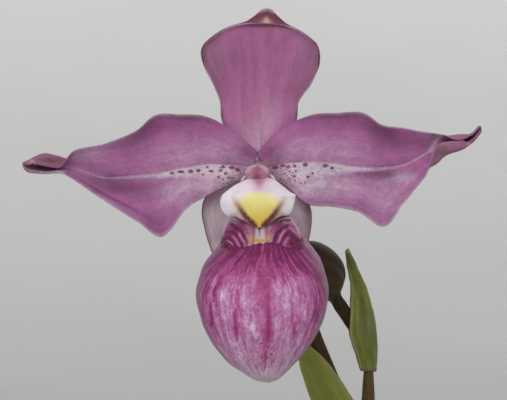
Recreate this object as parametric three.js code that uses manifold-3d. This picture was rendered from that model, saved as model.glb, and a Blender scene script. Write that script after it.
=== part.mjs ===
// A phragmipedium orchid growing in a plain clay pot: strap leaves in a flat fan, one upright
// stem with sheaths, and one open slipper flower with the next bud behind it.
// Units are millimetres, +Z is up, the flower faces -Y and the origin is under the pot's centre.
import * as THREE from "three";
import { mergeVertices } from "three/addons/utils/BufferGeometryUtils.js";
import Module from "manifold-3d";

const wasm = await Module();
wasm.setup();

// Pot: a standard round clay pot of 150 mm with a collar and three drain holes.
const POT = {
  height: 128, baseRadius: 49, neckRadius: 67, collarRadius: 75, collarHeight: 27,
  wall: 6.5, floor: 9, edge: 1.6, drainRadius: 6, drainRing: 24, sides: 44,
};
// Bark: coarse chips filling the pot to a little under the rim.
const BARK = {
  top: 108, gap: 0.4, chips: 50, chipSize: [17, 11, 7], wellFloor: 97, seed: 11,
};
// Leaf fan: the number of leaves alternates left and right from the innermost outwards.
const FAN = {
  centre: [0, 0], foot: 97.4, turn: 14, firstReach: 5.2, reachStep: 3.1, firstGap: 4.3,
  gapStep: 1.75, foldedLength: 52, openedLength: 125, blade: 1.0, steps: 13, splits: 6,
};
// Each leaf: length, half width, lean from vertical at 45 mm up, lean at the tip, sideways drift.
const LEAVES = [
  { length: 205, half: 15.5, lean: 5, tip: 40, drift: 5 },
  { length: 272, half: 19.5, lean: 9, tip: 74, drift: -9 },
  { length: 305, half: 21.0, lean: 15, tip: 98, drift: 8 },
  { length: 312, half: 21.5, lean: 21, tip: 108, drift: 12 },
  { length: 296, half: 21.5, lean: 29, tip: 116, drift: -10 },
  { length: 268, half: 21.0, lean: 36, tip: 118, drift: -12 },
  { length: 226, half: 19.5, lean: 45, tip: 122, drift: -8 },
];
// A young growth beside the fan, with short leaves of its own.
const OFFSET_FAN = {
  centre: [12, 44], foot: 97.4, turn: 20, firstReach: 2.2, reachStep: 3.2, firstGap: 1.7,
  gapStep: 2, foldedLength: 22, openedLength: 55, blade: 0.9, steps: 8, splits: 6,
};
const OFFSET_LEAVES = [
  { length: 62, half: 7.5, lean: 4, tip: 26, drift: 2 },
  { length: 98, half: 11.0, lean: 10, tip: 60, drift: -3 },
  { length: 84, half: 11.5, lean: 20, tip: 82, drift: 4 },
];

// Flower: everything below is measured from the flower's centre, where the petals meet.
const FLOWER_CENTRE = new THREE.Vector3(-26, -34, 470);
const PETAL_BLADE = 1.0;

// Stem path, in the part's frame, from the fan's centre to the last node of the spike.
const STEM_PATH = [
  [0, 0, 97.4], [1.5, 1.5, 150], [4.5, 3, 220], [8, 3.5, 290], [11.4, 2.6, 340],
  [12.2, 2, 368], [11.8, 0.4, 388], [11.9, 0, 401.5],
];
const STEM_RADII = [3.0, 2.9, 2.75, 2.6, 2.4, 2.45, 2.3, 1.5];

// Smooth values between rows of numbers: a uniform Catmull-Rom curve through each column.
function along(rows, t) {
  const last = rows.length - 1;
  const x = Math.min(Math.max(t, 0), 1) * last;
  const i = Math.min(Math.floor(x), last - 1);
  const w = x - i;
  const row = (k) => {
    if (k < 0) return rows[0].map((v, c) => 2 * v - rows[1][c]);
    if (k > last) return rows[last].map((v, c) => 2 * v - rows[last - 1][c]);
    return rows[k];
  };
  const [a, b, c, d] = [row(i - 1), row(i), row(i + 1), row(i + 2)];
  return b.map((_, k) => {
    const slope0 = (c[k] - a[k]) / 2;
    const slope1 = (d[k] - b[k]) / 2;
    const rise = c[k] - b[k];
    const cubic = slope0 + slope1 - 2 * rise;
    const square = 3 * rise - 2 * slope0 - slope1;
    return ((cubic * w + square) * w + slope0) * w + b[k];
  });
}

// The share of a table's rows at which one rising column reaches a value, by halving.
function shareAt(rows, column, value) {
  let [low, high] = [0, 1];
  for (let i = 0; i < 30; i++) {
    const middle = (low + high) / 2;
    if (along(rows, middle)[column] < value) low = middle;
    else high = middle;
  }
  return (low + high) / 2;
}

const smooth = (x) => {
  const t = Math.min(Math.max(x, 0), 1);
  return t * t * (3 - 2 * t);
};
const mix = (a, b, t) => a + (b - a) * t;
const radians = (degrees) => (degrees * Math.PI) / 180;

// Seeded random numbers from 0 to 1.
function random(seed) {
  let state = seed >>> 0;
  return () => {
    state = (Math.imul(state, 1664525) + 1013904223) >>> 0;
    return state / 4294967296;
  };
}

function indexed(points, faces) {
  const geometry = new THREE.BufferGeometry().setFromPoints(points);
  geometry.setIndex(faces);
  return facingOut(geometry);
}

// Turns every face round if the closed surface has them pointing inwards.
function facingOut(geometry) {
  const p = geometry.attributes.position;
  const index = geometry.index.array;
  const [a, b, c] = [new THREE.Vector3(), new THREE.Vector3(), new THREE.Vector3()];
  let volume = 0;
  for (let i = 0; i < index.length; i += 3) {
    a.fromBufferAttribute(p, index[i]);
    b.fromBufferAttribute(p, index[i + 1]);
    c.fromBufferAttribute(p, index[i + 2]);
    volume += a.dot(b.cross(c));
  }
  if (volume < 0) {
    const turned = Array.from(index);
    for (let i = 0; i < turned.length; i += 3) {
      [turned[i + 1], turned[i + 2]] = [turned[i + 2], turned[i + 1]];
    }
    geometry.setIndex(turned);
  }
  return geometry;
}

// A thin closed blade either side of surface(u, v), split into triangles alike on both faces.
function blade(surface, steps, splits, thickness) {
  const grid = [];
  for (let i = 0; i <= steps; i++) {
    grid.push([]);
    for (let j = 0; j <= splits; j++) grid[i].push(surface(i / steps, j / splits));
  }
  const front = [];
  const back = [];
  for (let i = 0; i <= steps; i++) {
    for (let j = 0; j <= splits; j++) {
      const du = grid[Math.min(i + 1, steps)][j].clone().sub(grid[Math.max(i - 1, 0)][j]);
      const dv = grid[i][Math.min(j + 1, splits)].clone().sub(grid[i][Math.max(j - 1, 0)]);
      const normal = du.cross(dv).normalize().multiplyScalar(thickness / 2);
      front.push(grid[i][j].clone().add(normal));
      back.push(grid[i][j].clone().sub(normal));
    }
  }
  const count = front.length;
  const at = (i, j) => i * (splits + 1) + j;
  const faces = [];
  for (let i = 0; i < steps; i++) {
    for (let j = 0; j < splits; j++) {
      const [a, b, c, d] = [at(i, j), at(i + 1, j), at(i + 1, j + 1), at(i, j + 1)];
      faces.push(a, b, c, a, c, d);
      faces.push(count + a, count + c, count + b, count + a, count + d, count + c);
    }
  }
  const rim = [];
  for (let j = 0; j < splits; j++) rim.push(at(0, j));
  for (let i = 0; i < steps; i++) rim.push(at(i, splits));
  for (let j = splits; j > 0; j--) rim.push(at(steps, j));
  for (let i = steps; i > 0; i--) rim.push(at(i, 0));
  rim.forEach((a, k) => {
    const b = rim[(k + 1) % rim.length];
    faces.push(a, b, count + b, a, count + b, count + a);
  });
  return indexed([...front, ...back], faces);
}

// A closed round stem along a row table of points, with its radii spread along the same length.
function stem(path, radii, steps, sides) {
  const points = [];
  let across = null;
  for (let i = 0; i <= steps; i++) {
    const t = i / steps;
    const centre = new THREE.Vector3(...along(path, t));
    const step = 0.5 / steps;
    const tangent = new THREE.Vector3(...along(path, Math.min(t + step, 1)))
      .sub(new THREE.Vector3(...along(path, Math.max(t - step, 0))))
      .normalize();
    if (!across) {
      const helper = new THREE.Vector3(1, 0, 0);
      across = helper.sub(tangent.clone().multiplyScalar(helper.dot(tangent))).normalize();
    }
    across.sub(tangent.clone().multiplyScalar(across.dot(tangent))).normalize();
    const over = tangent.clone().cross(across);
    const [radius] = along(radii.map((r) => [r]), t);
    for (let j = 0; j < sides; j++) {
      const angle = (2 * Math.PI * j) / sides;
      points.push(
        centre
          .clone()
          .addScaledVector(across, radius * Math.cos(angle))
          .addScaledVector(over, radius * Math.sin(angle)),
      );
    }
  }
  const faces = [];
  for (let i = 0; i < steps; i++) {
    for (let j = 0; j < sides; j++) {
      const k = (j + 1) % sides;
      const [a, b, c, d] = [i * sides + j, i * sides + k, (i + 1) * sides + k, (i + 1) * sides + j];
      faces.push(a, b, c, a, c, d);
    }
  }
  for (let j = 1; j < sides - 1; j++) {
    faces.push(0, j + 1, j);
    const top = steps * sides;
    faces.push(top, top + j, top + j + 1);
  }
  return indexed(points, faces);
}

// three.js geometry to a manifold-3d solid and back.
function toSolid(geometry) {
  const bare = geometry.clone();
  bare.deleteAttribute("normal");
  bare.deleteAttribute("uv");
  const merged = facingOut(mergeVertices(bare, 1e-4));
  return new wasm.Manifold(
    new wasm.Mesh({
      numProp: 3,
      vertProperties: merged.attributes.position.array,
      triVerts: new Uint32Array(merged.index.array),
    }),
  );
}

function toGeometry(solid) {
  const mesh = solid.getMesh();
  return new THREE.BufferGeometry()
    .setAttribute("position", new THREE.BufferAttribute(mesh.vertProperties, 3))
    .setIndex(new THREE.BufferAttribute(mesh.triVerts, 1));
}

function material(colour, roughness) {
  return new THREE.MeshStandardMaterial({ color: colour, roughness, metalness: 0 });
}

const MATERIALS = {
  clay: material(0xb0643f, 0.85),
  bark: material(0x5b3a26, 0.95),
  leaf: material(0x4c7a2f, 0.45),
  stem: material(0x6d5a3c, 0.6),
  bract: material(0x7f8a45, 0.55),
  petal: material(0xb0669d, 0.6),
  sepal: material(0xc39bb4, 0.6),
  pouch: material(0xb25591, 0.4),
  column: material(0xead9dd, 0.45),
  bud: material(0x4f4334, 0.7),
};

const plant = new THREE.Group();

function add(name, geometry, finish, parent = plant) {
  const mesh = new THREE.Mesh(geometry, MATERIALS[finish]);
  mesh.name = name;
  parent.add(mesh);
  return mesh;
}

// Inner radius of the pot at a height above its base.
function potInside(z) {
  const share = (z - POT.floor) / (POT.height - POT.floor);
  return mix(POT.baseRadius - POT.wall + 1, POT.neckRadius - 1, share);
}

function pot() {
  const { height, baseRadius, neckRadius, collarRadius, collarHeight, floor, edge } = POT;
  const shoulder = height - collarHeight;
  const profile = [
    [0, 0], [baseRadius - edge, 0], [baseRadius, edge],
    [neckRadius, shoulder], [collarRadius - 1.5, shoulder + 0.5], [collarRadius - 1, shoulder + 2],
    [collarRadius, height - 2 * edge], [collarRadius - edge, height],
    [potInside(height) + edge, height], [potInside(height - edge), height - edge],
    [potInside(floor + 4), floor + 4], [potInside(floor) - 4, floor], [0, floor],
  ].map(([r, z]) => new THREE.Vector2(r, z));
  let solid = toSolid(new THREE.LatheGeometry(profile, POT.sides).rotateX(Math.PI / 2));
  for (let i = 0; i < 3; i++) {
    const angle = (2 * Math.PI * i) / 3 + Math.PI / 6;
    const drain = new THREE.CylinderGeometry(POT.drainRadius, POT.drainRadius, 3 * floor, 16)
      .rotateX(Math.PI / 2)
      .translate(POT.drainRing * Math.cos(angle), POT.drainRing * Math.sin(angle), floor / 2);
    solid = solid.subtract(toSolid(drain));
  }
  return toGeometry(solid);
}

// The plain well in the bark where a fan of leaves stands, as an upright slot with round ends.
function well(fan, leaves) {
  const last = leaves.length - 1;
  const half = fan.firstGap + fan.gapStep * last + 3.6;
  const reach = Math.max(fan.firstReach + fan.reachStep * last + 4.6, half + 0.5);
  const slot = new THREE.Shape();
  slot.absarc(reach - half, 0, half, -Math.PI / 2, Math.PI / 2, false);
  slot.absarc(half - reach, 0, half, Math.PI / 2, (3 * Math.PI) / 2, false);
  const [x, y] = fan.centre;
  return new THREE.ExtrudeGeometry(slot, { depth: 60, bevelEnabled: false, curveSegments: 9 })
    .rotateZ(radians(fan.turn))
    .translate(x, y, BARK.wellFloor);
}

// One rough chip: a box with its corners moved at random.
function chip(next) {
  const [long, wide, thick] = BARK.chipSize.map((size) => size * mix(0.62, 1.12, next()));
  const geometry = new THREE.BoxGeometry(long, wide, thick);
  geometry.deleteAttribute("normal");
  geometry.deleteAttribute("uv");
  const merged = mergeVertices(geometry, 1e-3);
  const p = merged.attributes.position;
  for (let i = 0; i < p.count; i++) {
    p.setXYZ(
      i,
      p.getX(i) * mix(0.62, 1.1, next()),
      p.getY(i) * mix(0.62, 1.1, next()),
      p.getZ(i) * mix(0.7, 1.1, next()),
    );
  }
  return merged;
}

// A core that fills the pot, with chips sunk into its top in rings and cut clear of pot and leaves.
function bark() {
  const next = random(BARK.seed);
  const floor = POT.floor + BARK.gap;
  const core = [
    [0, floor], [potInside(floor) - 4 - BARK.gap, floor],
    [potInside(floor + 4) - BARK.gap, floor + 4.4],
    [potInside(BARK.top) - BARK.gap, BARK.top], [0, BARK.top + 2],
  ].map(([r, z]) => new THREE.Vector2(r, z));
  const chips = [];
  for (let i = 0; i < BARK.chips; i++) {
    const share = Math.sqrt((i + 0.5) / BARK.chips);
    const radius = (potInside(BARK.top) - 5) * share;
    const angle = i * 2.39996 + 0.4 * next();
    const piece = chip(next)
      .rotateX(0.5 * (next() - 0.5))
      .rotateY(0.5 * (next() - 0.5))
      .rotateZ(2 * Math.PI * next())
      .translate(radius * Math.cos(angle), radius * Math.sin(angle), BARK.top + 1 + 2.5 * next());
    chips.push(toSolid(piece));
  }
  const bound = [
    [0, floor], [potInside(floor) - 4 - BARK.gap, floor],
    [potInside(floor + 4) - BARK.gap, floor + 4.4],
    [potInside(POT.height - 3) - BARK.gap, POT.height - 3], [0, POT.height - 3],
  ].map(([r, z]) => new THREE.Vector2(r, z));
  const lathe = (points) => toSolid(new THREE.LatheGeometry(points, 32).rotateX(Math.PI / 2));
  const solid = wasm.Manifold.union([lathe(core), ...chips])
    .intersect(lathe(bound))
    .subtract(toSolid(well(FAN, LEAVES)))
    .subtract(toSolid(well(OFFSET_FAN, OFFSET_LEAVES)));
  const largest = solid.decompose().reduce((a, b) => (a.volume() > b.volume() ? a : b));
  return toGeometry(largest);
}

// A strap leaf's surface. The base is folded round the younger leaves inside it, and the blade
// opens to a shallow channel as it arches out.
function leafSurface(fan, leaf, k) {
  const side = k % 2 ? -1 : 1;
  const reach = fan.firstReach + fan.reachStep * k;
  const gap = fan.firstGap + fan.gapStep * k;
  const turn = radians(fan.turn);
  const [cx, cy] = fan.centre;
  const out = new THREE.Vector3(side * Math.cos(turn), side * Math.sin(turn), 0);
  const across = new THREE.Vector3(-Math.sin(turn), Math.cos(turn), 0);
  const up = new THREE.Vector3(0, 0, 1);
  const baseHalf = Math.min(reach + 5, leaf.half);
  const widths = [baseHalf, 0.8 * leaf.half, 0.86 * leaf.half, 0.96 * leaf.half, leaf.half,
    0.97 * leaf.half, 0.86 * leaf.half, 0.6 * leaf.half, 1.6].map((w) => [w]);
  widths[1][0] = Math.max(widths[1][0], 0.72 * baseHalf);
  const fine = 120;
  const spine = [new THREE.Vector3(cx, cy, fan.foot).addScaledVector(out, reach)];
  const lean = (s) =>
    radians(leaf.lean * smooth((s * leaf.length) / 45) + (leaf.tip - leaf.lean) * s ** 1.5);
  for (let i = 0; i < fine; i++) {
    const angle = lean((i + 0.5) / fine);
    const drift = leaf.drift * (2 * (i + 0.5)) / fine / leaf.length;
    spine.push(
      spine[i]
        .clone()
        .addScaledVector(out, (Math.sin(angle) * leaf.length) / fine)
        .addScaledVector(up, (Math.cos(angle) * leaf.length) / fine)
        .addScaledVector(across, (drift * leaf.length) / fine),
    );
  }
  return (u, v) => {
    const s = u;
    const length = s * leaf.length;
    const x = Math.min(s * fine, fine - 1e-6);
    const i = Math.floor(x);
    const centre = spine[i].clone().lerp(spine[i + 1], x - i);
    const angle = lean(s);
    const normal = up.clone().multiplyScalar(Math.sin(angle))
      .addScaledVector(out, -Math.cos(angle));
    const open = smooth((length - fan.foldedLength) / (fan.openedLength - fan.foldedLength));
    const steep = radians(mix(88, 17 - 6 * s, open));
    const bend = mix(gap / 0.6, 3, open);
    const half = along(widths, s)[0];
    const distance = Math.abs(2 * v - 1) * half;
    let sideways = 0;
    let inward = 0;
    const parts = 24;
    for (let n = 0; n < parts; n++) {
      const slope = steep * smooth(((n + 0.5) * distance) / parts / bend);
      sideways += (Math.cos(slope) * distance) / parts;
      inward += (Math.sin(slope) * distance) / parts;
    }
    return centre
      .addScaledVector(across, Math.sign(2 * v - 1) * sideways)
      .addScaledVector(normal, inward);
  };
}

function leaves(fan, list, prefix) {
  list.forEach((leaf, k) => {
    const surface = leafSurface(fan, leaf, k);
    add(`${prefix}_${k + 1}`, blade(surface, fan.steps, fan.splits, fan.blade), "leaf");
  });
}

// A petal's surface from rows of top edge, crease and lower edge, with the belly of each half.
// Row: top x y z, crease x y z, lower edge x y z, forward belly of upper and lower half.
const LEFT_PETAL = [
  [-2.2, 2.2, 3.6, -2.8, 2.2, -0.4, -3.6, 2.2, -3.6, 0, 0],
  [-9, 2.6, 11.3, -9.9, 0.6, 0, -10.5, -1, -6.6, 1, 0.4],
  [-18, 6, 16.2, -18.1, -1.5, 0.2, -17.7, -4, -10.2, 2, -0.8],
  [-26.8, 7, 16.9, -26, -2.5, -1.2, -24.1, -7, -14.4, 2.4, -2],
  [-34.8, 7, 16.7, -33.9, -2.5, -2.8, -31.8, -10, -23.3, 2.4, -2.8],
  [-41.4, 5, 11.3, -42.2, -1.5, -3.6, -39.7, -9, -18.6, 1.8, -2.4],
  [-51.9, 4, 7, -51.9, 0.5, -4, -51.8, -4.5, -11.1, 0.8, -1.2],
  [-60.4, 2.4, 5.2, -59.7, 3, -1.6, -61.1, -1, -5, -0.4, -0.4],
  [-65.2, -1, 3.2, -65.4, 4, 0, -65.4, -2, -2.4, -0.6, -0.4],
  [-70.6, -4.5, 3.9, -71.4, 3.4, 0.6, -70.6, -4, -3, -0.8, -0.5],
  [-75.4, -5, 1.9, -76.8, 0.8, -0.3, -75.2, -5, -2.8, -0.6, -0.4],
  [-77, -3.6, 1.2, -77.8, -1.8, 0.2, -77, -3.8, -1.1, 0, 0],
];
const RIGHT_PETAL = [
  [0.9, 2.2, 2.6, 2.6, 2.2, -0.6, 3.4, 2.2, -4, 0, 0],
  [7.7, 2.6, 11.8, 9.2, 0.6, 0.5, 8.8, -1, -6.9, 1, 0.4],
  [17.4, 6, 16.7, 17.1, -1.5, 1, 15.7, -4, -12.8, 2, -0.8],
  [26.1, 7, 17.4, 25.3, -2.5, 0.2, 24.2, -6.5, -13.7, 2.4, -1.8],
  [34.2, 7, 17.5, 32.9, -2.5, -0.7, 32.2, -9, -15.5, 2.4, -2.6],
  [40.6, 5, 13.4, 40.5, -1.5, -0.8, 40.2, -11, -20.1, 1.8, -2.8],
  [47.4, 4, 12.3, 48.3, 0.5, 0.5, 46.6, -8, -12.7, 1, -1.6],
  [54.4, 2.6, 10.9, 55.3, 2, 4.1, 54.1, -4, -3.9, 0, -0.6],
  [59.6, 0, 10.1, 60.4, 2.4, 7.2, 59.4, -1.6, 3.3, -0.4, -0.4],
  [65, -3, 9.5, 65.6, 1.4, 8, 65.3, -2.6, 5.5, -0.5, -0.4],
  [69.4, -4, 10.2, 70.6, 0, 8.8, 70, -3.4, 6.6, -0.4, -0.3],
  [71.5, -5, 12.6, 72.8, -3, 11.8, 73, -5.2, 10.6, 0, 0],
];

function petalSurface(rows) {
  return (u, v) => {
    const r = along(rows, u);
    const upper = v < 0.5;
    const w = upper ? 2 * v : 2 * v - 1;
    const from = upper ? 0 : 3;
    const belly = 4 * w * (1 - w) * (upper ? r[9] : r[10]);
    return new THREE.Vector3(
      mix(r[from], r[from + 3], w),
      mix(r[from + 1], r[from + 4], w) - belly,
      mix(r[from + 2], r[from + 5], w),
    );
  };
}

// Sepals: rows of left reach, right reach, height on the midline, height at the margin, depth on
// the midline, depth at the margin and height of the pointed boss at the tip.
const DORSAL_SEPAL = [
  [2.2, 2.2, 0.8, 0.8, 3.7, 3.7, 0],
  [8.5, 8.2, 8, 7, 5.2, 6.2, 0],
  [12.6, 12.1, 16.6, 14.6, 6.4, 8.4, 0],
  [13.3, 13, 24, 21.3, 6.8, 8.6, 0],
  [15.5, 16.6, 31, 27, 6.8, 7, 0],
  [18.3, 19.7, 38, 33, 6.2, 4.4, 0],
  [19.4, 19.8, 43.8, 36.8, 4.4, 2.2, 0],
  [19, 19.5, 47.6, 38.8, 1.8, 0.8, 5],
  [18.6, 19, 48, 39.8, -1, -0.4, 4.4],
  [18, 18.4, 46.6, 40, -2.4, -1.3, 0],
];
const SYNSEPAL = [
  [2.2, 2.2, -0.8, -0.8, 3.7, 3.7, 0],
  [10, 8.5, -6, -5, 4.8, 4.2, 0],
  [17.4, 14.6, -11, -9.6, 5.8, 3.4, 0],
  [19.3, 17, -16, -15, 6.4, 2, 0],
  [18.2, 16.8, -22, -21.5, 6.8, 1, 0],
  [16.4, 15.2, -28, -27.5, 7, 0.8, 0],
  [14, 13, -34, -33.5, 7, 1.2, 0],
  [10.4, 9.8, -40, -39.5, 6.6, 2.4, 0],
  [5.8, 5.6, -45, -44.6, 5.8, 4, 0],
  [1.1, 1.1, -48.4, -48.3, 4.8, 4.6, 0],
];
const BOSS = { place: 0.1, width: 0.17 };

function sepalSurface(rows) {
  return (u, v) => {
    const [left, right, midZ, edgeZ, midY, edgeY, boss] = along(rows, u);
    const w = 2 * v - 1;
    const point = boss * Math.exp(-(((w - BOSS.place) / BOSS.width) ** 2));
    return new THREE.Vector3(
      w < 0 ? w * left : w * right,
      mix(midY, edgeY, w * w),
      mix(midZ, edgeZ, Math.abs(w) ** 2.1) + point,
    );
  };
}

// Pouch rows: height, half width, front depth, back depth, sideways shift.
const POUCH = [
  [-69.7, 0.5, -22.4, -21.4, 2.2],
  [-68.6, 3.9, -26.6, -17, 1.8],
  [-65.2, 8.6, -31.2, -11.8, 0.9],
  [-60.1, 13.7, -35.4, -8, 0.4],
  [-53.7, 17.7, -38.6, -5.6, 0.5],
  [-47.5, 20.2, -40, -4.4, 0.6],
  [-41.8, 21, -40, -3.8, 0.7],
  [-36.6, 20.5, -38.8, -3.5, 0.8],
  [-31.4, 18.6, -36.2, -3.3, 1],
  [-26.2, 14.9, -32.4, -3, 1.6],
  [-21.4, 11.6, -28, -2.6, 0.7],
  [-14, 8.6, -20, -1.4, 0.2],
  [-6.2, 4, -6.5, 0.2, 0],
];
const POUCH_WALL = 1.1;
const POUCH_RIM = { front: -24.9, back: -7.8, dip: 1.5, dipsAt: 27, starts: 50, ends: 176 };
const POUCH_ROUNDNESS = 0.88;
const POUCH_SIDES = 22;
const POUCH_RINGS = 11;

function pouchRim(angle) {
  const turned = (Math.abs(angle) * 180) / Math.PI;
  const rise = smooth((turned - POUCH_RIM.starts) / (POUCH_RIM.ends - POUCH_RIM.starts));
  const dip = POUCH_RIM.dip * Math.exp(-(((turned - POUCH_RIM.dipsAt) / 12) ** 2));
  return mix(POUCH_RIM.front, POUCH_RIM.back, rise) - dip;
}

// A point of the pouch: angle 0 is the front, positive to the right; share runs up the rows.
function pouchPoint(angle, share) {
  const [z, half, front, back, shift] = along(POUCH, share);
  const [s, c] = [Math.sin(angle), Math.cos(angle)];
  const rounded = (x) => Math.sign(x) * Math.abs(x) ** POUCH_ROUNDNESS;
  return new THREE.Vector3(
    shift + half * rounded(s),
    (front + back) / 2 - ((back - front) / 2) * rounded(c),
    z,
  );
}

// The bag itself: an outer skin up to the slanting rim and an inner skin a wall inside it.
function pouchBag() {
  const outer = [];
  const inner = [];
  const skin = (i, j) => {
    const angle = (2 * Math.PI * j) / POUCH_SIDES;
    const signed = angle > Math.PI ? angle - 2 * Math.PI : angle;
    const top = shareAt(POUCH, 0, pouchRim(signed));
    return pouchPoint(angle, top * mix(0.02, 1, i / POUCH_RINGS));
  };
  for (let i = 0; i <= POUCH_RINGS; i++) {
    for (let j = 0; j < POUCH_SIDES; j++) {
      const here = skin(i, j);
      const up = skin(Math.min(i + 1, POUCH_RINGS), j).sub(skin(Math.max(i - 1, 0), j));
      const round = skin(i, j + 1).sub(skin(i, j + POUCH_SIDES - 1));
      const normal = round.cross(up).normalize();
      outer.push(here);
      inner.push(here.clone().addScaledVector(normal, -POUCH_WALL));
    }
  }
  const foot = pouchPoint(0, 0);
  foot.y = (along(POUCH, 0)[2] + along(POUCH, 0)[3]) / 2;
  const count = outer.length;
  const footInside = foot.clone();
  footInside.z += POUCH_WALL;
  const points = [...outer, ...inner, foot, footInside];
  const faces = [];
  for (let j = 0; j < POUCH_SIDES; j++) {
    const k = (j + 1) % POUCH_SIDES;
    for (let i = 0; i < POUCH_RINGS; i++) {
      const [a, b] = [i * POUCH_SIDES + j, i * POUCH_SIDES + k];
      const [c, d] = [b + POUCH_SIDES, a + POUCH_SIDES];
      faces.push(a, b, c, a, c, d);
      faces.push(count + a, count + c, count + b, count + a, count + d, count + c);
    }
    faces.push(2 * count, k, j, 2 * count + 1, count + j, count + k);
    const [a, b] = [POUCH_RINGS * POUCH_SIDES + j, POUCH_RINGS * POUCH_SIDES + k];
    faces.push(a, b, count + b, a, count + b, count + a);
  }
  return indexed(points, faces);
}

// The striped side lobes that fold in over the mouth and meet at a slit under the column.
// Rows from the slit outwards: foot x y z, middle x y z, top x y z.
const LOBE = [
  [0.7, -31.6, -24.9, 0.7, -24, -23, 0.7, -15.6, -20],
  [4.2, -31.2, -26.1, 4, -24.4, -22.2, 3.4, -15.6, -19.2],
  [7.8, -29.6, -26.7, 7.2, -23.4, -21.6, 6.2, -14.8, -18.2],
  [10.6, -26.8, -26.3, 9.7, -21, -21.4, 8.2, -13.6, -17.4],
  [12.3, -22.4, -25.2, 11.4, -17.6, -21.4, 9.6, -11.8, -17.2],
];
const LOBE_SHIFT = 0.8;
const LOBE_BLADE = 1.1;

function lobeSurface(side) {
  return (u, v) => {
    const r = along(LOBE, v);
    const column = (k) => [[r[k]], [r[k + 3]], [r[k + 6]]];
    const [x, y, z] = [0, 1, 2].map((k) => along(column(k), u)[0]);
    return new THREE.Vector3(side * x + LOBE_SHIFT * (1 - u), y, z);
  };
}

function lip() {
  const parts = [toSolid(pouchBag())];
  for (const side of [-1, 1]) {
    parts.push(toSolid(blade(lobeSurface(side), 4, 5, LOBE_BLADE)));
  }
  return toGeometry(wasm.Manifold.union(parts));
}

// The shield over the mouth: its outline x z, and how far its face swells forward.
const SHIELD_OUTLINE = [
  [0, -19.9], [-4.4, -17.9], [-10.4, -16], [-12.4, -13.2], [-12.3, -10.8], [-9.2, -7.4],
  [-4.8, -4.4], [0, -3.6], [4.9, -4.5], [9.4, -7.6], [11.3, -9.6], [11, -12.8], [9.6, -15.4],
  [4, -18],
];
const SHIELD = { centre: [-0.4, -11.4], depth: -19.2, swell: 2.6, edge: 0.7, rings: 3 };

function shield() {
  const outline = new THREE.CatmullRomCurve3(
    SHIELD_OUTLINE.map(([x, z]) => new THREE.Vector3(x, 0, z)), true, "centripetal");
  const sides = 2 * SHIELD_OUTLINE.length;
  const [cx, cz] = SHIELD.centre;
  const points = [];
  for (const face of [-1, 1]) {
    points.push(new THREE.Vector3(cx, SHIELD.depth + (face < 0 ? -SHIELD.swell : 1.6), cz));
    for (let i = 1; i <= SHIELD.rings; i++) {
      const share = i / SHIELD.rings;
      for (let j = 0; j < sides; j++) {
        const edge = outline.getPoint(j / sides);
        const swell = face < 0 ? SHIELD.swell * (1 - share ** 2.4) + SHIELD.edge / 2 : 0;
        const hollow = face > 0 ? 1.6 * (1 - share ** 2) + SHIELD.edge / 2 : 0;
        points.push(new THREE.Vector3(
          mix(cx, edge.x, share), SHIELD.depth - swell + hollow, mix(cz, edge.z, share)));
      }
    }
  }
  const half = 1 + SHIELD.rings * sides;
  const faces = [];
  for (let j = 0; j < sides; j++) {
    const k = (j + 1) % sides;
    for (const [start, flip] of [[0, false], [half, true]]) {
      const push = (a, b, c) => (flip ? faces.push(a, c, b) : faces.push(a, b, c));
      push(start, start + 1 + j, start + 1 + k);
      for (let i = 0; i < SHIELD.rings - 1; i++) {
        const [a, b] = [start + 1 + i * sides + j, start + 1 + i * sides + k];
        push(a, a + sides, b + sides);
        push(a, b + sides, b);
      }
    }
    const [a, b] = [1 + (SHIELD.rings - 1) * sides + j, 1 + (SHIELD.rings - 1) * sides + k];
    faces.push(a, half + a, half + b, a, half + b, b);
  }
  return indexed(points, faces);
}

// The column: a neck from the flower's centre, the knob above the shield, two anthers beside it,
// the stigma under it and the shield in front.
const COLUMN_PATH = [
  [0, 1.3, -1.4], [0, -3, -2], [-0.3, -8, -3.2], [-0.6, -13, -5.6], [-0.8, -17.4, -9],
];
const COLUMN_RADII = [2.7, 3, 3.7, 4.2, 3.6];
const KNOB = { centre: [-1, -17.8, -2.9], radii: [4.3, 3.8, 2.7] };
const ANTHER = { centre: [3.7, -12.4, -8.2], radii: [1.5, 2.3, 1.8] };
const STIGMA = { centre: [-0.6, -12.6, -11], radii: [2.6, 2, 3.2] };

function column() {
  const lump = ({ centre, radii }, side, around, rings) =>
    toSolid(new THREE.SphereGeometry(1, around, rings).scale(...radii)
      .translate(side * centre[0], centre[1], centre[2]));
  return toGeometry(wasm.Manifold.union([
    toSolid(stem(COLUMN_PATH, COLUMN_RADII, 5, 10)), toSolid(shield()), lump(KNOB, 1, 12, 7),
    lump(STIGMA, 1, 8, 5), lump(ANTHER, 1, 8, 5), lump(ANTHER, -1, 8, 5),
  ]));
}

// Ovary of the open flower, from the node it grows on up to the seat of the petals.
const OVARY_PATH = [
  [33.1, 36, -96.6], [30.6, 35.8, -88.5], [25.6, 35.2, -76], [19, 35, -60.5], [12.6, 34.5, -43],
  [7, 31, -27], [2.6, 24, -13], [0.4, 14.5, -3.4], [0, 7.4, 0],
];
const OVARY_RADII = [2.0, 2.5, 2.9, 3.1, 3.1, 3.0, 2.8, 2.6, 3.4];
const SEAT = { depth: 4.9, front: 2.3, back: 3.4, length: 3.2 };

function ovary() {
  const seat = new THREE.CylinderGeometry(SEAT.back, SEAT.front, SEAT.length, 10)
    .translate(0, SEAT.depth + SEAT.length / 2, 0);
  return toGeometry(toSolid(stem(OVARY_PATH, OVARY_RADII, 18, 8)).add(toSolid(seat)));
}

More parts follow.
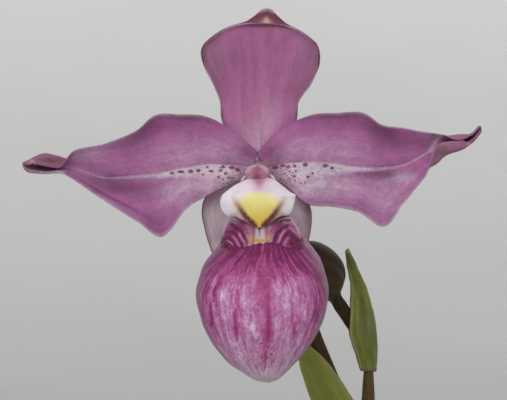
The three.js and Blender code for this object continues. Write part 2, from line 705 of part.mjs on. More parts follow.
// The next bud on its own young ovary, nodding behind the pouch.
const BUD_PATH = [
  [37.2, 34, -67.4], [34.8, 33.6, -59.6], [31.2, 32.6, -53.2], [28.2, 30.6, -48.6],
  [25.6, 28, -44.6], [22.4, 24.6, -40], [18.6, 20.8, -35.8], [13.4, 17.2, -32.2], [7.8, 14.4, -29.6],
];
const BUD_RADII = [1.3, 1.9, 2.2, 2.3, 2.6, 8, 9.4, 7.6, 0.8];

// Bracts fold round the stem and what grows in their axil. Rows: keel x z, margin x z, half gap.
const LOWER_BRACT = {
  depth: [36, 34.6],
  rows: [
    [34.4, -105, 41, -104.4, 4.1], [30.4, -99.4, 41.4, -99, 4.4], [24.4, -91, 38.2, -90, 4.5],
    [18.6, -81.6, 32.5, -81.2, 4.6], [14.6, -70, 24.8, -69.4, 4.7], [12.8, -62.4, 17.4, -62, 3.9],
    [11.4, -56.4, 12.6, -56.6, 1],
  ],
};
const UPPER_BRACT = {
  depth: [34, 31.6],
  rows: [
    [40.2, -71, 35, -70.6, 2.7], [40.5, -66, 33.7, -65.4, 3.7], [40.4, -60, 31.4, -59, 4.1],
    [39.2, -50.6, 31.5, -49.6, 3.9], [36.6, -42, 31.7, -42, 2.8], [33.3, -34.4, 30.6, -35, 1.8],
    [30.6, -28.6, 29.8, -29.2, 0.9],
  ],
};
const BRACT_BLADE = 0.8;

function bractSurface(bract) {
  return (u, v) => {
    const [keelX, keelZ, marginX, marginZ, gap] = along(bract.rows, u);
    const w = 2 * v - 1;
    const bend = (Math.abs(w) * Math.PI) / 2;
    const share = 1 - Math.cos(bend);
    const depth = mix(bract.depth[0], bract.depth[1], u);
    return new THREE.Vector3(
      mix(keelX, marginX, share),
      depth + Math.sign(w) * gap * Math.sin(bend),
      mix(keelZ, marginZ, share),
    );
  };
}

// Sheaths lower on the stem: a blade wrapped round it, closed at the foot and free at the tip.
const SHEATHS = [
  { foot: 196, length: 56, side: 200, gap: 0.7, flare: 3.4 },
  { foot: 282, length: 48, side: 15, gap: 0.7, flare: 3 },
];
const SHEATH_BLADE = 0.7;

function stemAt(height) {
  const share = shareAt(STEM_PATH, 2, height);
  const centre = new THREE.Vector3(...along(STEM_PATH, share));
  const [radius] = along(STEM_RADII.map((r) => [r]), share);
  return { centre, radius };
}

function sheathSurface({ foot, length, side, gap, flare }) {
  return (u, v) => {
    const { centre, radius } = stemAt(foot + u * length);
    const wrap = radians(mix(172, 14, u ** 1.25));
    const angle = radians(side) + (2 * v - 1) * wrap;
    const swell = flare * Math.sin(Math.min(1, u * 1.15) * Math.PI * 0.62);
    const distance = radius + gap + SHEATH_BLADE / 2 + 0.35 * swell * smooth(4 * u);
    return centre
      .add(new THREE.Vector3(distance * Math.cos(angle), distance * Math.sin(angle), 0))
      .add(new THREE.Vector3(Math.cos(radians(side)), Math.sin(radians(side)), 0)
        .multiplyScalar(0.65 * swell * u));
  };
}

add("pot", pot(), "clay");
add("bark", bark(), "bark");
leaves(FAN, LEAVES, "leaf");
leaves(OFFSET_FAN, OFFSET_LEAVES, "young_leaf");
add("stem", stem(STEM_PATH, STEM_RADII, 22, 8), "stem");
SHEATHS.forEach((sheath, k) => {
  add(`sheath_${k + 1}`, blade(sheathSurface(sheath), 6, 8, SHEATH_BLADE), "bract");
});

const flower = new THREE.Group();
flower.position.copy(FLOWER_CENTRE);
plant.add(flower);
add("dorsal_sepal", blade(sepalSurface(DORSAL_SEPAL), 15, 10, PETAL_BLADE), "sepal", flower);
add("synsepal", blade(sepalSurface(SYNSEPAL), 11, 6, PETAL_BLADE), "sepal", flower);
add("petal_left", blade(petalSurface(LEFT_PETAL), 20, 8, PETAL_BLADE), "petal", flower);
add("petal_right", blade(petalSurface(RIGHT_PETAL), 20, 8, PETAL_BLADE), "petal", flower);
add("pouch", lip(), "pouch", flower);
add("column", column(), "column", flower);
add("ovary", ovary(), "stem", flower);
add("bud", stem(BUD_PATH, BUD_RADII, 20, 10), "bud", flower);
add("lower_bract", blade(bractSurface(LOWER_BRACT), 9, 6, BRACT_BLADE), "bract", flower);
add("upper_bract", blade(bractSurface(UPPER_BRACT), 9, 6, BRACT_BLADE), "bract", flower);

export default plant;
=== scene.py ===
from functools import cached_property

import bpy
import numpy as np
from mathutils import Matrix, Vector


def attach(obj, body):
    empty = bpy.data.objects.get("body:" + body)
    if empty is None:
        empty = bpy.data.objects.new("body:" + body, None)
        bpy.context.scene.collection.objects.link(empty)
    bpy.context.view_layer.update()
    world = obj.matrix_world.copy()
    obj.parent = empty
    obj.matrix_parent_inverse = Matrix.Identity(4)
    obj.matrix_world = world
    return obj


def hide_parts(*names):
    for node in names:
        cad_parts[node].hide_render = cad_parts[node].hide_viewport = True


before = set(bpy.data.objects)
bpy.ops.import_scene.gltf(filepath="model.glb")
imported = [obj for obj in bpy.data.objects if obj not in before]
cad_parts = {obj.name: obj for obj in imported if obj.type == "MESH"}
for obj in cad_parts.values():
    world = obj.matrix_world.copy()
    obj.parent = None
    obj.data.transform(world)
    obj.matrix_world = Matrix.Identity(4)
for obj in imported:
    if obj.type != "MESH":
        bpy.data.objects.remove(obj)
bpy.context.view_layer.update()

FLOWER_CENTRE = np.array([-26.0, -34.0, 470.0])
FORWARD = np.array([0.0, -1.0, 0.0])

# Pot and bark, as in the solid model.
POT = {
    "height": 128, "base": 49, "neck": 67, "collar": 75, "collar_height": 27, "wall": 6.5,
    "floor": 9, "corner": 13, "edge": 1.6, "drain_radius": 6, "drain_ring": 24, "sides": 168,
}
BARK = {"top": 108, "chips": 190, "size": (17, 11, 7), "core": 105.5, "gap": 0.4, "seed": 11}
GOLDEN_ANGLE = 2.39996

# Leaf fans, from the innermost leaf outwards: length, half width, lean, lean at the tip, drift.
FAN = {
    "centre": (0, 0), "foot": 97.4, "turn": 14, "first_reach": 5.2, "reach_step": 3.1,
    "first_gap": 4.3, "gap_step": 1.75, "folded": 52, "opened": 125,
}
LEAVES = [
    (205, 15.5, 5, 40, 5), (272, 19.5, 9, 74, -9), (305, 21, 15, 98, 8), (312, 21.5, 21, 108, 12),
    (296, 21.5, 29, 116, -10), (268, 21, 36, 118, -12), (226, 19.5, 45, 122, -8),
]
OFFSET_FAN = {
    "centre": (12, 44), "foot": 97.4, "turn": 20, "first_reach": 2.2, "reach_step": 3.2,
    "first_gap": 1.7, "gap_step": 2, "folded": 22, "opened": 55,
}
OFFSET_LEAVES = [(62, 7.5, 4, 26, 2), (98, 11, 10, 60, -3), (84, 11.5, 20, 82, 4)]

# Stem path and radii, and the sheaths on it: foot, length, side, gap, flare.
STEM_PATH = [
    [0, 0, 97.4], [1.5, 1.5, 150], [4.5, 3, 220], [8, 3.5, 290], [11.4, 2.6, 340],
    [12.2, 2, 368], [11.8, 0.4, 388], [11.9, 0, 401.5],
]
STEM_RADII = [3.0, 2.9, 2.75, 2.6, 2.4, 2.45, 2.3, 1.5]
SHEATHS = [(196, 56, 200, 0.7, 3.4), (282, 48, 15, 0.7, 3.0)]
SHEATH_BLADE = 0.7
UPPER_STEM_NODE = 364

# Petals: top edge x y z, crease x y z, lower edge x y z, forward belly of each half.
LEFT_PETAL = [
    [-1.1, 2.2, 4.2, -2.4, 2.2, -0.4, -3.6, 2.2, -3.6, 0, 0],
    [-9, 2.6, 11.3, -9.9, 0.6, 0, -10.5, -1, -6.6, 1, 0.4],
    [-18, 6, 16.2, -18.1, -1.5, 0.2, -17.7, -4, -10.2, 2, -0.8],
    [-26.8, 7, 16.9, -26, -2.5, -1.2, -24.1, -7, -14.4, 2.4, -2],
    [-34.8, 7, 16.7, -33.9, -2.5, -2.8, -31.8, -10, -23.3, 2.4, -2.8],
    [-41.4, 5, 11.3, -42.2, -1.5, -3.6, -39.7, -9, -18.6, 1.8, -2.4],
    [-51.9, 4, 7, -51.9, 0.5, -4, -51.8, -4.5, -11.1, 0.8, -1.2],
    [-60.4, 2.4, 5.2, -59.7, 3, -1.6, -61.1, -1, -5, -0.4, -0.4],
    [-65.2, -1, 2.2, -65.4, 2.6, -1.6, -65.4, -2, -2.5, -0.6, -0.2],
    [-70.6, -4.5, 2.9, -71.4, 1.2, -0.9, -70.6, -3.4, -3, -0.8, -0.3],
    [-74.6, -5.2, 1.2, -76.9, -0.6, 0.7, -75.4, -3.8, -2.9, -0.5, -0.2],
    [-74.6, -4.8, 0.2, -77.9, -2.4, 0.6, -77.2, -3.4, -1.2, 0, 0],
]
RIGHT_PETAL = [
    [-0.7, 2.2, 3.6, 1.8, 2.2, -0.6, 3.4, 2.2, -4, 0, 0],
    [6.6, 2.6, 11.8, 9.2, 0.6, 0.5, 8.8, -1, -6.9, 1, 0.4],
    [17.4, 6, 16.7, 17.1, -1.5, 1, 15.7, -4, -12.8, 2, -0.8],
    [26.1, 7, 17.4, 25.3, -2.5, 0.2, 24.2, -6.5, -13.7, 2.4, -1.8],
    [34.2, 7, 17.5, 32.9, -2.5, -0.7, 32.2, -9, -15.5, 2.4, -2.6],
    [40.6, 5, 13.4, 40.5, -1.5, -0.8, 40.2, -11, -20.1, 1.8, -2.8],
    [47.4, 4, 12.3, 48.3, 0.5, 0.5, 46.6, -8, -12.7, 1, -1.6],
    [54.4, 2.6, 10.9, 55.3, 2, 4.1, 54.1, -4, -3.9, 0, -0.6],
    [59.6, 0, 10.1, 60.4, 2.4, 7.2, 59.4, -1.6, 3.3, -0.4, -0.4],
    [65, -3, 9.5, 65.6, 1.4, 8, 65.3, -2.6, 5.5, -0.5, -0.4],
    [69.3, -4, 10.3, 69.7, 0, 8.7, 68.8, -3.4, 6.8, -0.4, -0.3],
    [71.5, -5, 12.6, 72.4, -3, 11.8, 72.1, -5.2, 10.6, 0, 0],
]

# Sepals: left reach, right reach, middle z, margin z, middle y, margin y, boss at the tip.
DORSAL_SEPAL = [
    [2.2, 2.2, 0.8, 0.8, 3.7, 3.7, 0], [8.5, 8.2, 8, 7, 5.2, 6.2, 0],
    [12.6, 12.1, 16.6, 14.6, 6.4, 8.4, 0], [13.3, 13, 24, 21.3, 6.8, 8.6, 0],
    [15.5, 16.9, 31, 27, 6.6, 7, 0], [18.2, 19.4, 38, 32, 5.6, 5, 0],
    [19.3, 19.9, 43.2, 34.8, 4.3, 3.6, 0], [19.5, 19.7, 46.3, 37.2, 3.1, 2.9, 4.3],
    [18.3, 18.7, 47.1, 40, 2.3, 2.2, 3.9], [16.3, 16.9, 47, 41.3, 1.6, 1.7, 0],
]
SYNSEPAL = [
    [2.2, 2.2, -0.8, -0.8, 3.7, 3.7, 0], [10, 8.5, -6, -5, 4.8, 4.2, 0],
    [17.4, 14.6, -11, -9.6, 5.8, 3.4, 0], [19.3, 17, -16, -15, 6.4, 2, 0],
    [18.2, 16.8, -22, -21.5, 6.8, 1, 0], [16.4, 15.2, -28, -27.5, 7, 0.8, 0],
    [14, 13, -34, -33.5, 7, 1.2, 0], [10.4, 9.8, -40, -39.5, 6.6, 2.4, 0],
    [5.8, 5.6, -45, -44.6, 5.8, 4, 0], [1.1, 1.1, -48.4, -48.3, 4.8, 4.6, 0],
]
BOSS = {"place": 0.12, "width": 0.245}

# Pouch: z, half width, front y, back y, sideways shift.
POUCH = [
    [-69.7, 0.5, -22.4, -21.4, 2.2], [-68.6, 3.9, -26.6, -17, 1.8],
    [-65.2, 8.6, -31.2, -11.8, 0.9], [-60.1, 13.7, -35.4, -8, 0.4],
    [-53.7, 17.7, -38.6, -5.6, 0.5], [-47.5, 20.2, -40, -4.4, 0.6],
    [-41.8, 21, -40, -3.8, 0.7], [-36.6, 20.5, -38.8, -3.5, 0.8],
    [-31.4, 18.6, -36.2, -3.3, 1], [-26.2, 14.9, -32.4, -3, 1.6],
    [-21.4, 11.6, -28, -2.6, 0.7], [-14, 8.6, -20, -1.4, 0.2], [-6.2, 4, -6.5, 0.2, 0],
]
POUCH_WALL = 1.1
POUCH_ROUNDNESS = 0.88
RIM = {"front": -24.9, "back": -7.8, "dip": 1.5, "dips_at": 27, "starts": 50, "ends": 176}
# Side lobes, from the slit outwards: foot x y z, middle x y z, top x y z.
LOBE = [
    [0.12, -31.6, -24.9, 0.22, -24, -23, 0.5, -15.6, -20],
    [4.2, -31.2, -26.1, 4, -24.4, -22.2, 3.4, -15.6, -19.2],
    [7.8, -29.6, -26.7, 7.2, -23.4, -21.6, 6.2, -14.8, -18.2],
    [10.6, -26.8, -26.3, 9.7, -21, -21.4, 8.2, -13.6, -17.4],
    [12.3, -22.4, -25.2, 11.4, -17.6, -21.4, 9.6, -11.8, -17.2],
]
LOBE_SHIFT = -0.2

# Column: the shield's outline x z, then its neck and lumps.
SHIELD_OUTLINE = [
    [-0.4, -20.2], [-1.5, -20.1], [-3.3, -19.5], [-4.6, -18.5], [-6.2, -17.7], [-8, -16.9],
    [-10.2, -16.6], [-11.2, -16], [-12.2, -14.8], [-12.8, -12.6], [-12.6, -11], [-11.8, -9.6],
    [-8.9, -7.3], [-6, -5.7], [-3, -4.4], [0, -3.8], [3.6, -4.7], [5.5, -5.7], [6.6, -6.6],
    [8.4, -8], [9.9, -9.2], [11.3, -9.8], [11.2, -10.8], [10.8, -12.9], [10.1, -15.1],
    [9, -16.3], [7, -16.6], [5.6, -17.1], [3.9, -18.4], [2.5, -19.4], [0.9, -20.1],
]
SHIELD = {"centre": (-0.4, -11.4), "depth": -19.2, "swell": 2.6, "edge": 0.7}
COLUMN_PATH = [
    [0, 1.3, -1.4], [0, -3, -2], [-0.3, -8, -3.2], [-0.6, -13, -5.6], [-0.8, -17.4, -9],
]
COLUMN_RADII = [2.7, 3, 3.7, 4.2, 3.6]
KNOB = ((-1, -17.8, -2.9), (4.3, 3.8, 2.7))
ANTHER = ((3.7, -12.4, -8.2), (1.5, 2.3, 1.8))
STIGMA = ((-0.6, -12.6, -11), (2.6, 2, 3.2))
WINGS = [(-5.6, -17.2, -4.4), (4.5, -17.2, -4.3)]
WING = {"radii": (0.8, 1.2, 1.35), "leans": (0.75, -0.75), "level": -5.2}
TUFT = {"root": (-0.9, 0.6, 1.4), "leaning": (0, -1.0, 0.4), "hairs": 150}

# Ovary, bud and bracts behind the flower.
OVARY_PATH = [
    [33.1, 36, -96.6], [30.6, 35.8, -88.5], [25.6, 35.2, -76], [19, 35, -60.5], [12.6, 34.5, -43],
    [7, 31, -27], [2.6, 24, -13], [0.4, 14.5, -3.4], [0, 7.4, 0],
]
OVARY_RADII = [2.0, 2.5, 2.9, 3.1, 3.1, 3.0, 2.8, 2.6, 3.4]
SEAT_PATH = [[0, 8.1, 0], [0, 7.2, 0], [0, 6.0, 0], [0, 4.9, 0]]
SEAT_RADII = [3.4, 3.4, 2.9, 2.3]
BUD_PATH = [
    [37.2, 34, -67.4], [34.8, 33.6, -59.6], [31.2, 32.6, -53.2], [28.2, 30.6, -48.6],
    [25.6, 28, -44.6], [22.4, 24.6, -40], [18.6, 20.8, -35.8], [13.4, 17.2, -32.2],
    [7.8, 14.4, -29.6],
]
BUD_RADII = [1.3, 1.9, 2.2, 2.3, 2.6, 8, 9.4, 7.6, 0.8]
LOWER_BRACT = [
    [34.4, -105, 41, -104.4, 4.1], [30.4, -99.4, 41.4, -99, 4.4], [24.4, -91, 38.2, -90, 4.5],
    [18.6, -81.6, 32.5, -81.2, 4.6], [14.6, -70, 24.8, -69.4, 4.7], [12.8, -62.4, 17.4, -62, 3.9],
    [11.4, -56.4, 12.6, -56.6, 1],
]
UPPER_BRACT = [
    [40.2, -71, 35, -70.6, 2.7], [40.5, -66, 33.7, -65.4, 3.7], [40.4, -60, 31.4, -59, 4.1],
    [39.2, -50.6, 31.5, -49.6, 3.9], [36.6, -42, 31.7, -42, 2.8], [33.3, -34.4, 30.6, -35, 1.8],
    [30.6, -28.6, 29.8, -29.2, 0.9],
]

# Shapes of curves and surfaces
def spline(padded, x):
    """Catmull-Rom values of a padded table, x rows past its second row."""
    i = np.minimum(x.astype(int), len(padded) - 4)
    w = (x - i)[..., None]
    a, b, c, d = (padded[i + k] for k in range(4))
    start, end, rise = (c - a) / 2, (d - b) / 2, c - b
    return (((start + end - 2 * rise) * w + 3 * rise - 2 * start - end) * w + start) * w + b


def along(rows, t):
    """Smooth values between the rows of a table at shares t."""
    rows = np.asarray(rows, float)
    if rows.ndim == 1:
        rows = rows[:, None]
    padded = np.vstack([2 * rows[0] - rows[1], rows, 2 * rows[-1] - rows[-2]])
    return spline(padded, np.clip(np.asarray(t, float), 0, 1) * (len(rows) - 1))


def columns(rows, t):
    """The same with a grid of values for each column of the table."""
    return np.moveaxis(along(rows, t), -1, 0)


def share_at(rows, column, value):
    """The share of the rows at which one rising column reaches a value."""
    t = np.linspace(0, 1, 2001)
    return np.interp(value, along(rows, t)[:, column], t)


def smooth(x):
    """Rises from 0 at 0 to 1 at 1, level at both ends."""
    t = np.clip(x, 0, 1)
    return t * t * (3 - 2 * t)


def hump(x, low, top, high):
    """Rises from 0 at low to 1 at top and falls back to 0 at high."""
    return smooth((x - low) / (top - low)) * smooth((high - x) / (high - top))


def bell(x, width):
    """1 where x is 0, and fading softly to both sides."""
    return np.exp(-(x / width) ** 2)


def mix(a, b, t):
    return a + (b - a) * t


def unit(v):
    return v / np.maximum(np.linalg.norm(v, axis=-1, keepdims=True), 1e-9)


def grid(n, m):
    """Shares along the rows and across the columns of an n by m grid."""
    return np.meshgrid(np.linspace(0, 1, n), np.linspace(0, 1, m), indexing="ij")


def circle(sides):
    """Angles round a circle, and the points of a circle of radius 1 at them."""
    angle = np.linspace(0, 2 * np.pi, sides, endpoint=False)
    return angle, stacked(np.cos(angle), np.sin(angle))


def stacked(*parts):
    """Parts of any fitting shapes as the coordinates of points."""
    return np.stack(np.broadcast_arrays(*parts), -1)


def ease(points):
    """Softens a grid of points across its width."""
    for _ in range(2):
        points[:, 1:-1] = (points[:, :-2] + 2 * points[:, 1:-1] + points[:, 2:]) / 4


def surface_normals(points):
    return unit(np.cross(np.gradient(points, axis=0), np.gradient(points, axis=1)))


def ripple(points, size, seed, layers=5):
    """Smooth seeded noise from about -1 to 1 at points, with features of the given size."""
    rng = np.random.default_rng(seed)
    total = np.zeros(points.shape[:-1])
    for _ in range(layers):
        direction = unit(rng.normal(size=3)) * 2 * np.pi / (size * rng.uniform(0.6, 1.5))
        total += np.sin(points @ direction + rng.uniform(0, 2 * np.pi))
    return total / layers * 1.6


def strokes(x, z, *marks):
    """Soft lines: each a half width, a strength and a path of x z points."""
    total = np.zeros_like(x)
    for half, strength, *path in marks:
        nearest = np.full(x.shape, np.inf)
        for (ax, az), (bx, bz) in zip(path[:-1], path[1:]):
            dx, dz = bx - ax, bz - az
            t = np.clip(((x - ax) * dx + (z - az) * dz) / (dx * dx + dz * dz), 0, 1)
            nearest = np.minimum(nearest, np.hypot(x - ax - t * dx, z - az - t * dz))
        total = np.maximum(total, strength * bell(nearest, half))
    return total


def blobs(x, z, *patches):
    """Soft patches added up: each a centre x z, its reach in x and z, and its strength."""
    total = np.zeros_like(x)
    for cx, cz, rx, rz, strength in patches:
        total += strength * np.exp(-((x - cx) / rx) ** 2 - ((z - cz) / rz) ** 2)
    return total


class Shell:
    """Points in millimetres with faces, flow coordinates at the corners and shading fields."""

    def __init__(self, points, faces, flow, wraps=False, **fields):
        self.points = points
        self.faces = [np.asarray(f) for f in faces]
        self.flow = [flow[f] for f in self.faces]
        self.fields = fields
        if wraps:
            for corners in self.flow:
                across = corners[..., 1]
                crossing = across.max(1, keepdims=True) - across.min(1, keepdims=True) > 0.5
                corners[..., 1] = across + (crossing & (across < 0.5))
        volume = 0.0
        for f in self.faces:
            a = points[f[:, 0]]
            for k in range(1, f.shape[1] - 1):
                volume += np.einsum("ij,ij->", a, np.cross(points[f[:, k]], points[f[:, k + 1]]))
        if volume < 0:
            self.faces = [f[:, ::-1] for f in self.faces]
            self.flow = [c[:, ::-1] for c in self.flow]

    def mark(self, *names):
        """Sets whole fields of the shell to 1."""
        for name in names:
            self.fields[name] = np.ones(len(self.points))
        return self


def merged(shells):
    """One shell of several; a field that one of them lacks is 0 there."""
    starts = np.cumsum([0] + [len(s.points) for s in shells])
    joined = Shell.__new__(Shell)
    joined.points = np.concatenate([s.points for s in shells])
    joined.faces = [f + start for s, start in zip(shells, starts) for f in s.faces]
    joined.flow = [c for s in shells for c in s.flow]
    joined.fields = {
        name: np.concatenate([s.fields.get(name, np.zeros(len(s.points))) for s in shells])
        for name in sorted({name for shell in shells for name in shell.fields})
    }
    return joined


def grid_quads(ids):
    """Quads between the rows and columns of a grid of point numbers."""
    return stacked(ids[:-1, :-1], ids[1:, :-1], ids[1:, 1:], ids[:-1, 1:]).reshape(-1, 4)


def ring_quads(ids):
    """Quads between closed rings of point numbers."""
    after = np.roll(ids, -1, axis=1)
    return stacked(ids[:-1], after[:-1], after[1:], ids[1:]).reshape(-1, 4)


def cap(centre, ring, turned_over=False):
    """Triangles from a centre point to a closed ring."""
    pair = (ring, np.roll(ring, -1)) if turned_over else (np.roll(ring, -1), ring)
    return stacked(np.full(len(ring), centre), *pair)


def ring_faces(n, sides):
    """Quads between n rings, and fans to two centre points that follow them."""
    ids = np.arange(n * sides).reshape(n, sides)
    ends = [cap(n * sides, ids[0]), cap(n * sides + 1, ids[-1], True)]
    return [ring_quads(ids), np.concatenate(ends)]


def blade(points, half, flow, face, **fields):
    """A thin closed blade about a grid of points; its front looks the way of face."""
    n, m = points.shape[:2]
    count = n * m
    lift = surface_normals(points) * half[..., None]
    lift = (lift * np.sign(np.sum(lift * face))).reshape(-1, 3)
    du, dv = (unit(np.gradient(points, axis=axis)) for axis in (0, 1))
    out = np.zeros_like(points)
    out[:, 0] -= dv[:, 0]
    out[:, -1] += dv[:, -1]
    out[0] -= du[0]
    out[-1] += du[-1]
    ids = np.arange(count).reshape(n, m)
    rim = np.concatenate([ids[:-1, 0], ids[-1, :-1], ids[:0:-1, -1], ids[0, :0:-1]])
    edge = (points + unit(out) * half[..., None]).reshape(-1, 3)[rim]
    middle = 2 * count + np.arange(len(rim))
    after, middle_after = np.roll(rim, -1), np.roll(middle, -1)
    quads = grid_quads(ids)
    faces = [
        quads, quads[:, ::-1] + count, stacked(after, rim, middle, middle_after),
        stacked(middle_after, middle, count + rim, count + after),
    ]

    def spread(values):
        return np.concatenate([values, values, values[rim]])

    body = points.reshape(-1, 3)
    fields = {name: spread(np.asarray(f, float).ravel()) for name, f in fields.items()}
    fields["back"] = np.repeat([0.0, 1.0, 0.5], [count, count, len(rim)])
    return Shell(np.concatenate([body + lift, body - lift, edge]), faces,
                 spread(flow.reshape(-1, 2)), **fields)


def tube(path, radii, steps, sides, relief=None):
    """A closed round stem; relief(t, angle, centre) scales its radius. Also gives its normals."""
    t = np.linspace(0, 1, steps)
    centre = along(path, t)
    tangent = unit(np.gradient(centre, axis=0))
    across = np.zeros((steps, 3))
    side = np.array([1.0, 0, 0])
    for i in range(steps):
        side = unit(side - tangent[i] * (side @ tangent[i]))
        across[i] = side
    over = np.cross(tangent, across)
    angle = circle(sides)[0]
    radius = np.maximum(along(radii, t), 0.02) * np.ones(sides)
    if relief is not None:
        radius = radius * relief(t[:, None], angle[None, :], centre)
    around = np.cos(angle)[:, None] * across[:, None] + np.sin(angle)[:, None] * over[:, None]
    rings = centre[:, None] + radius[..., None] * around
    length = np.concatenate([[0], np.cumsum(np.linalg.norm(np.diff(centre, axis=0), axis=1))])
    flow = stacked(length[:, None], angle / (2 * np.pi))
    shell = Shell(
        np.concatenate([rings.reshape(-1, 3), centre[[0, -1]]]), ring_faces(steps, sides),
        np.concatenate([flow.reshape(-1, 2), [[length[0], 0], [length[-1], 0]]]), wraps=True,
        along=np.concatenate([np.repeat(t, sides), [0, 1]]))
    shell.normals = np.concatenate([around.reshape(-1, 3), -tangent[:1], tangent[-1:]])
    return shell


def lump(centre, radii, sides, rings, seed, rough=0.03):
    """A rounded lump: a ball scaled to its radii with a slightly uneven skin."""
    polar = np.linspace(0.04, np.pi - 0.04, rings)[:, None]
    angle = circle(sides)[0]
    ball = stacked(np.sin(polar) * np.cos(angle), np.sin(polar) * np.sin(angle), -np.cos(polar))
    ball = ball * (1 + rough * ripple(ball, 1.1, seed))[..., None]
    points = np.concatenate([ball.reshape(-1, 3), [[0, 0, -1.0], [0, 0, 1.0]]])
    points = points * np.array(radii) + np.array(centre)
    return Shell(points, ring_faces(rings, sides), points[:, :2] * 0.2)


def hairs(roots, directions, lengths, thickness, seed):
    """Short tapering hairs, each a slim three-sided spike that starts under the skin."""
    rng = np.random.default_rng(seed)
    d = unit(directions)
    a = unit(np.cross(d, rng.normal(size=d.shape)))
    b = np.cross(d, a)
    turn = np.arange(3) * 2 * np.pi / 3
    ring = np.cos(turn)[None, :, None] * a[:, None] + np.sin(turn)[None, :, None] * b[:, None]
    base = roots[:, None] - 0.15 * d[:, None] + thickness / 2 * ring
    tip = roots[:, None] + (lengths[:, None] * d)[:, None]
    points = np.concatenate([base, tip], axis=1).reshape(-1, 3)
    start = 4 * np.arange(len(roots))[:, None]
    faces = np.concatenate([start + f for f in ([0, 1, 3], [1, 2, 3], [2, 0, 3], [0, 2, 1])])
    return Shell(points, [faces], points[:, :2] * 0.2).mark("hair")


def fur(points, normals, count, length, thickness, seed, lean=0.5):
    """Hairs on seeded points of a surface, leaning at random from its normals."""
    rng = np.random.default_rng(seed)
    pick = rng.integers(0, len(points), count)
    direction = unit(normals[pick]) + lean * rng.normal(size=(count, 3))
    lengths = length * rng.uniform(0.5, 1.15, count)
    return hairs(points[pick], direction, lengths, thickness, seed + 1)


def margin_fur(points, count, length, thickness, seed):
    """Hairs that stand out from both margins of a blade's grid of points."""
    rng = np.random.default_rng(seed)
    n, m = points.shape[:2]
    rows = rng.uniform(0.03, 0.985, count) * (n - 2)
    i = rows.astype(int)
    at_end = rng.random(count) < 0.5
    edge, inner = np.where(at_end, m - 1, 0), np.where(at_end, m - 3, 2)
    root = mix(points[i, edge], points[i + 1, edge], (rows - i)[:, None])
    out = unit(points[i, edge] - points[i, inner])
    direction = out + 0.5 * rng.normal(size=(count, 3))
    return hairs(root - 0.1 * out, direction, length * rng.uniform(0.4, 1.1, count),
                 thickness, seed + 1)


def linear(red, green, blue):
    """A colour given as it looks on a screen, 0 to 255, for a shader socket."""
    c = np.array([red, green, blue]) / 255
    c = np.where(c < 0.04045, c / 12.92, ((c + 0.055) / 1.055) ** 2.4)
    return (*c, 1.0)


